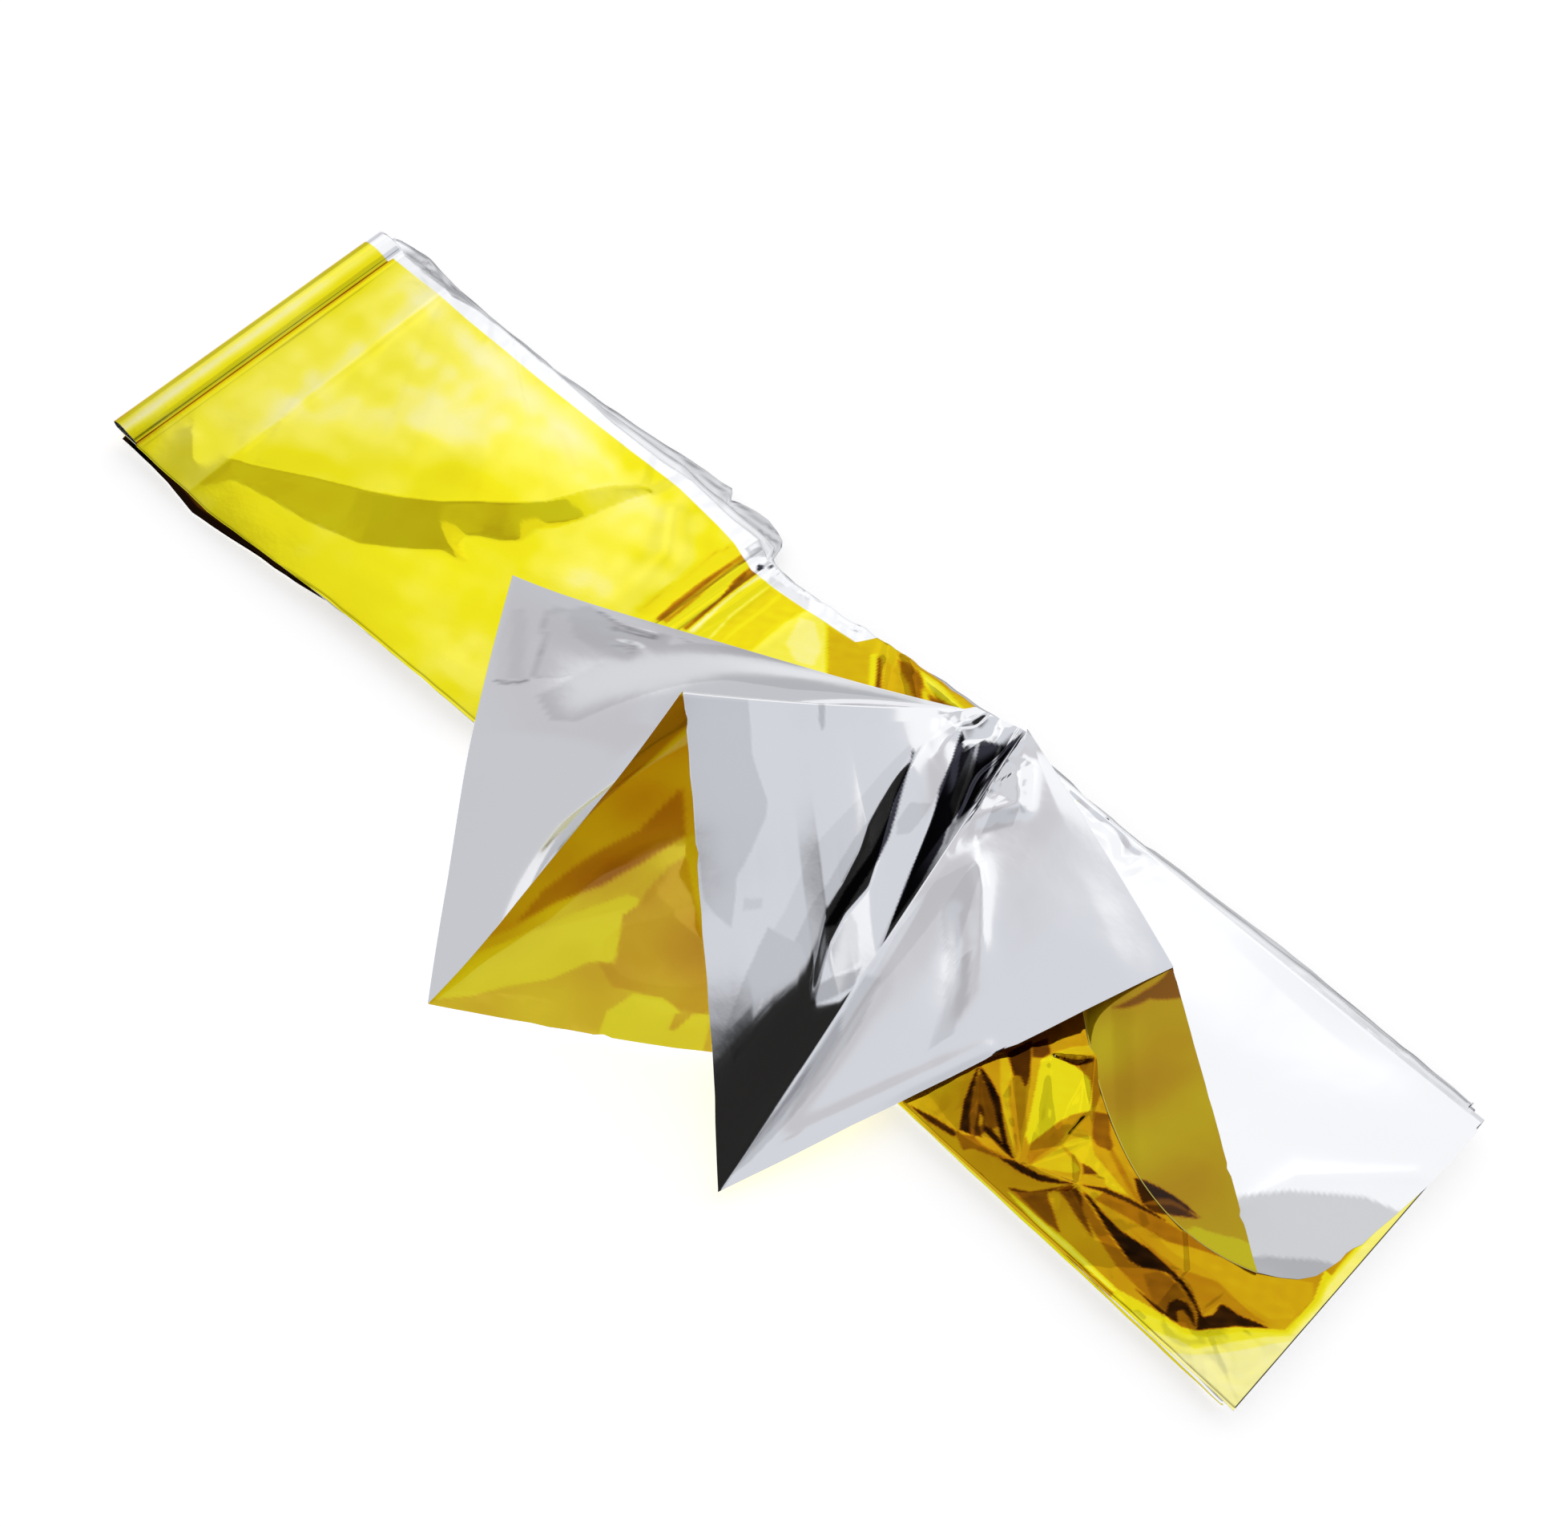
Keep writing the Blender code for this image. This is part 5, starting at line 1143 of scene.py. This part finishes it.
gold = lacquered(film_finish("gold face", 0.08, 0.14), 0.20, 0.07, selvage=5.0)
gold_fan = lacquered(film_finish("gold face of the fan", 0.12, 0.20), 0.20, 0.08)
gold_fan.node_tree.nodes["Principled BSDF"].inputs["Metallic"].default_value = 0.60
gold_inside = lacquered(film_finish("gold face under the pleats", 0.12, 0.20), 0.22, 0.08)
gold_inside.node_tree.nodes["Principled BSDF"].inputs["Metallic"].default_value = 0.30
gold_pocket_glowing = lacquered(film_finish("gold face in the pocket, glowing with painted light", 0.12, 0.20), 0.22, 0.08)
glowing_pocket_shader = gold_pocket_glowing.node_tree.nodes["Principled BSDF"]
glowing_pocket_shader.inputs["Metallic"].default_value = 0.30
# painted light: the pocket's gold glows a little in its own colour, standing in for daylight through the thin film, so
# the pocket's floor is never quite dark
glowing_pocket_shader.inputs["Emission Strength"].default_value = 0.24
gold_pocket_glowing.node_tree.links.new(glowing_pocket_shader.inputs["Base Color"].links[0].from_socket,
                                glowing_pocket_shader.inputs["Emission Color"])
silver = with_painted_shade(film_finish("silver face", 0.12, 0.14))

# %% Make the strip
def steps(*stretches):
    """Places along a line in stretches of even steps, given as (start, end, step)."""
    return np.unique(np.concatenate([np.linspace(a, b, round((b - a) / step) + 1) for a, b, step in stretches]))


def silver_painted_shade(grid):
    """Painted shade on the bare upper edge of each layer: how dark it is drawn, the lower layers more, with thin darker
    lines along it.
    """
    x, y, z = grid[..., 0], grid[..., 1], grid[..., 2]
    outer = np.interp(z, (2.0, 2.6, 3.6, 4.4, 5.2), (0.45, 0.55, 0.52, 0.26, 0.03))
    lines = 0.5 + 0.5 * np.sin(2.3 * (y - 0.02 * x) + 1.2 * waves(x, y, 83, 40.0, 1.0))
    streaks = outer * (0.55 + 0.75 * lines ** 3)
    painted_dark = np.clip(streaks * smooth((y - 84.0) / 2.0) * smooth((x - 4.0) / 6.0), 0, 1)
    return painted(x, y, painted_dark, KNOT_PAINTED_SHADE, (0.35, 0.5)) if z.max() > TOP_RUN else painted_dark


near_edge = np.array([0, 0.12, 0.24, 0.36, 0.48, 0.8, 1.5, 3.0, 5.0]) / 88
layers_across = np.concatenate([near_edge, steps((14, 74, 12), (80, 88, 0.9)) / 88])
layers_grid, layers_film, layers_tone = strip_surface(range(0, 5), layers_across)
layers = film_piece("strip_layers", layers_grid, layers_film, layers_tone, gold, silver, silver_painted_shade(layers_grid))
SEAM = 250.0                                      # here the top layer's coarse grid meets the corner's fine one
top_grid, top_film, top_tone = strip_surface(
    (4, 5), np.concatenate([near_edge[:6], steps((1.6, 56, 0.88), (56, 88, 0.57)) / 88]),
    steps((9, 115, 0.8), (115, 136, 1.0), (136, 156, 0.35), (156, 215, 0.6), (215, SEAM, 1.5)))
top = film_piece("strip_top", top_grid, top_film, top_tone, gold, silver, silver_painted_shade(top_grid))
corner_grid, corner_film, corner_tone = strip_surface(
    (5,), np.concatenate([near_edge[:6], steps((1.2, 50, 0.4), (50, 88, 3)) / 88]), steps((SEAM, 355, 0.36)))
corner = film_piece("strip_corner", corner_grid, corner_film, corner_tone, gold, silver)

# %% Make the fan
fan_grid, fan_tone, fan_painted_dark, fan_rows = fan_surface()
fan_middle = fan_grid[:, COLUMNS // 2]
fan_along = np.cumsum(np.linalg.norm(np.diff(fan_middle, axis=0, prepend=fan_middle[:1]), axis=1))
fan_film = np.stack(np.broadcast_arrays(fan_along[:, None], np.linspace(0, 130.0, COLUMNS)[None, :]), 2)
flap, pleated, lowest = [
    film_piece(name, fan_grid[rows], fan_film[rows], fan_tone[rows], silver, inner, fan_painted_dark[rows], True)
    for name, inner, rows in zip(("fan_flap", "fan_pleats", "fan_lowest"), (gold_fan, gold_inside, gold_pocket_glowing),
                                 fan_rows)]


def flat_area(grid):
    """Area of a grid's faces in square metres, from their diagonals."""
    first, second = grid[1:, 1:] - grid[:-1, :-1], grid[1:, :-1] - grid[:-1, 1:]
    return float(np.linalg.norm(np.cross(first, second), axis=2).sum()) / 2 * MM * MM


print("film areas, m2:", [round(flat_area(grid), 4) for grid in (
    layers_grid, top_grid, corner_grid, *(fan_grid[rows] for rows in fan_rows))])

# %% The pieces' body, and the packed part hidden
for piece in (layers, top, corner, flap, pleated, lowest):
    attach(piece, "root")
    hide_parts("foil_blanket")

# %% [markdown]
# ## Studio
#
# The film shows its surroundings, and painted reflections and shade in its colour, so the studio matters more than
# the lamps. The room is painted by direction: a large soft window behind the object, grey walls, and a dark corner that
# the steep pleats mirror.

# %% Studio room
ROOM_GREY = (0.70, 0.71, 0.745)
ROOM = table("name centre half turn soft colour", [
    ("left ceiling", (-0.60, 0.12), (0.22, 0.30), 0.0, 0.02, (0.66, 0.645, 0.665)),
    ("grey wall", (-0.82, -0.18), (0.42, 0.34), 0.0, 0.05, (0.69, 0.695, 0.715)),
    ("soft grey", (0.16, 0.02), (0.12, 0.14), 0.0, 0.06, (0.52, 0.53, 0.56)),
    ("warm ceiling", (-0.36, 0.00), (0.075, 0.30), 0.0, 0.03, (0.60, 0.585, 0.60)),
    ("window", (-0.26, 0.64), (0.42, 0.36), 0.0, 0.015, (1.0, 1.0, 1.0)),
    ("upper left wall", (-0.72, 0.66), (0.20, 0.20), 0.0, 0.03, (0.66, 0.66, 0.68)),
    ("bright pane", (-0.46, 0.44), (0.07, 0.09), -25.0, 0.05, (1.16, 1.16, 1.16)),
    ("second pane", (-0.22, 0.50), (0.10, 0.09), -25.0, 0.05, (1.14, 1.14, 1.14)),
    ("behind the camera", (0.10, -0.78), (1.2, 0.30), 0.0, 0.08, (0.42, 0.42, 0.43)),
    ("brown corner", (0.26, -0.34), (0.36, 0.12), 0.0, 0.06, (0.24, 0.125, 0.06)),
    ("dark doorway", (0.82, 0.04), (0.46, 0.23), 0.0, 0.07, (0.012, 0.013, 0.013)),
    ("dark wall", (0.90, 0.55), (0.37, 0.50), 0.0, 0.07, (0.020, 0.019, 0.018)),
])


def room_patch():
    """Soft-edged turned rectangle in the directions' plan: 1 inside, 0 outside."""
    tree = bpy.data.node_groups.new("room patch", "ShaderNodeTree")
    for name, kind in (("Direction", "Vector"), ("Centre", "Vector"), ("Turn", "Float"), ("Inner", "Vector"),
                       ("Outer", "Vector")):
        tree.interface.new_socket(name, in_out="INPUT", socket_type="NodeSocket" + kind)
    tree.interface.new_socket("Mask", in_out="OUTPUT", socket_type="NodeSocketFloat")
    entry, out = tree.nodes.new("NodeGroupInput"), tree.nodes.new("NodeGroupOutput")
    turn = tree.nodes.new("ShaderNodeVectorRotate")
    turn.rotation_type = "Z_AXIS"
    size = tree.nodes.new("ShaderNodeVectorMath")
    size.operation = "ABSOLUTE"
    fade = tree.nodes.new("ShaderNodeMapRange")
    fade.data_type = "FLOAT_VECTOR"
    fade.interpolation_type = "SMOOTHSTEP"
    fade.inputs[9].default_value = (1, 1, 1)
    fade.inputs[10].default_value = (0, 0, 0)
    split = tree.nodes.new("ShaderNodeSeparateXYZ")
    both = tree.nodes.new("ShaderNodeMath")
    both.operation = "MULTIPLY"
    move = tree.nodes.new("ShaderNodeVectorMath")
    move.operation = "SUBTRACT"
    link = tree.links.new
    link(entry.outputs["Direction"], move.inputs[0])
    link(entry.outputs["Centre"], move.inputs[1])
    link(move.outputs[0], turn.inputs["Vector"])
    link(entry.outputs["Turn"], turn.inputs["Angle"])
    link(turn.outputs[0], size.inputs[0])
    link(size.outputs[0], fade.inputs[6])
    link(entry.outputs["Inner"], fade.inputs[7])
    link(entry.outputs["Outer"], fade.inputs[8])
    link(fade.outputs[1], split.inputs[0])
    link(split.outputs[0], both.inputs[0])
    link(split.outputs[1], both.inputs[1])
    link(both.outputs[0], out.inputs["Mask"])
    return tree


def room_world():
    """World shader: each row of the table paints one soft-edged patch of the room, by direction."""
    world = bpy.data.worlds.new("studio")
    world.use_nodes = True
    tree = world.node_tree
    background, out = tree.nodes["Background"], tree.nodes["World Output"]
    place = tree.nodes.new("ShaderNodeTexCoord")
    patch_kind = room_patch()
    colour = None
    for row in ROOM:
        patch = tree.nodes.new("ShaderNodeGroup")
        patch.node_tree = patch_kind
        half, soft = row["half"], row["soft"]
        patch.inputs["Centre"].default_value = (*row["centre"], 0.0)
        patch.inputs["Turn"].default_value = math.radians(row["turn"])
        patch.inputs["Inner"].default_value = (half[0] - soft, half[1] - soft, 0.0)
        patch.inputs["Outer"].default_value = (half[0] + soft, half[1] + soft, 1.0)
        mix = tree.nodes.new("ShaderNodeMix")
        mix.data_type = "RGBA"
        mix.inputs[6].default_value = (*ROOM_GREY, 1.0)
        mix.inputs[7].default_value = (*row["colour"], 1.0)
        tree.links.new(place.outputs["Generated"], patch.inputs["Direction"])
        tree.links.new(patch.outputs["Mask"], mix.inputs[0])
        if colour is not None:
            tree.links.new(colour, mix.inputs[6])
        colour = mix.outputs[2]
    tree.links.new(colour, background.inputs["Color"])
    seen = tree.nodes.new("ShaderNodeBackground")
    seen.inputs["Color"].default_value = (1.0, 1.0, 1.0, 1.0)
    path = tree.nodes.new("ShaderNodeLightPath")
    choose = tree.nodes.new("ShaderNodeMixShader")
    tree.links.new(path.outputs["Is Camera Ray"], choose.inputs[0])
    tree.links.new(background.outputs[0], choose.inputs[1])
    tree.links.new(seen.outputs[0], choose.inputs[2])
    tree.links.new(choose.outputs[0], out.inputs["Surface"])
    return world


scene = bpy.context.scene
scene.world = room_world()
scene.view_settings.view_transform = "Standard"
scene.cycles.max_bounces = 16                     # the folded film mirrors itself many times over
scene.cycles.glossy_bounces = 12
scene.cycles.diffuse_bounces = 6

# %% Floor and camera
FLOOR_HALF = 4.0
floor_mesh = bpy.data.meshes.new("floor")
floor_mesh.from_pydata([(x * FLOOR_HALF, y * FLOOR_HALF, -0.0003) for x, y in ((-1, -1), (1, -1), (1, 1), (-1, 1))],
                       [], [(0, 1, 2, 3)])
floor = bpy.data.objects.new("floor", floor_mesh)
scene.collection.objects.link(floor)
floor_finish = bpy.data.materials.new("pale floor")
floor_finish.use_nodes = True
floor_shader = floor_finish.node_tree.nodes["Principled BSDF"]
floor_shader.inputs["Base Color"].default_value = (0.86, 0.86, 0.86, 1.0)
floor_shader.inputs["Roughness"].default_value = 0.9
floor_shader.inputs["Emission Color"].default_value = (1.0, 1.0, 1.0, 1.0)
floor_shader.inputs["Emission Strength"].default_value = 0.55
floor_mesh.materials.append(floor_finish)

EYE = np.array([378.1, -172.3, 500.7])            # the camera's place in the strip's frame
LOOK, RIGHT, DOWN = (-0.3337, 0.3801, -0.8627), (0.7247, 0.6886, 0.0230), (0.6028, -0.6176, -0.5053)
FOCAL_PIXELS, IMAGE_WIDTH, SENSOR = 3108.0, 1957.0, 36.0
camera_data = bpy.data.cameras.new("camera")
camera_data.sensor_width = SENSOR
camera_data.lens = SENSOR * FOCAL_PIXELS / IMAGE_WIDTH
camera_data.clip_start = 0.01
camera = bpy.data.objects.new("camera", camera_data)
scene.collection.objects.link(camera)
axes = np.stack([np.array(RIGHT), -np.array(DOWN), -np.array(LOOK)], 1)
camera.matrix_world = Matrix.Translation(Vector((EYE + STRIP_ZERO) * MM)) @ Matrix(axes.tolist()).to_4x4()
scene.camera = camera
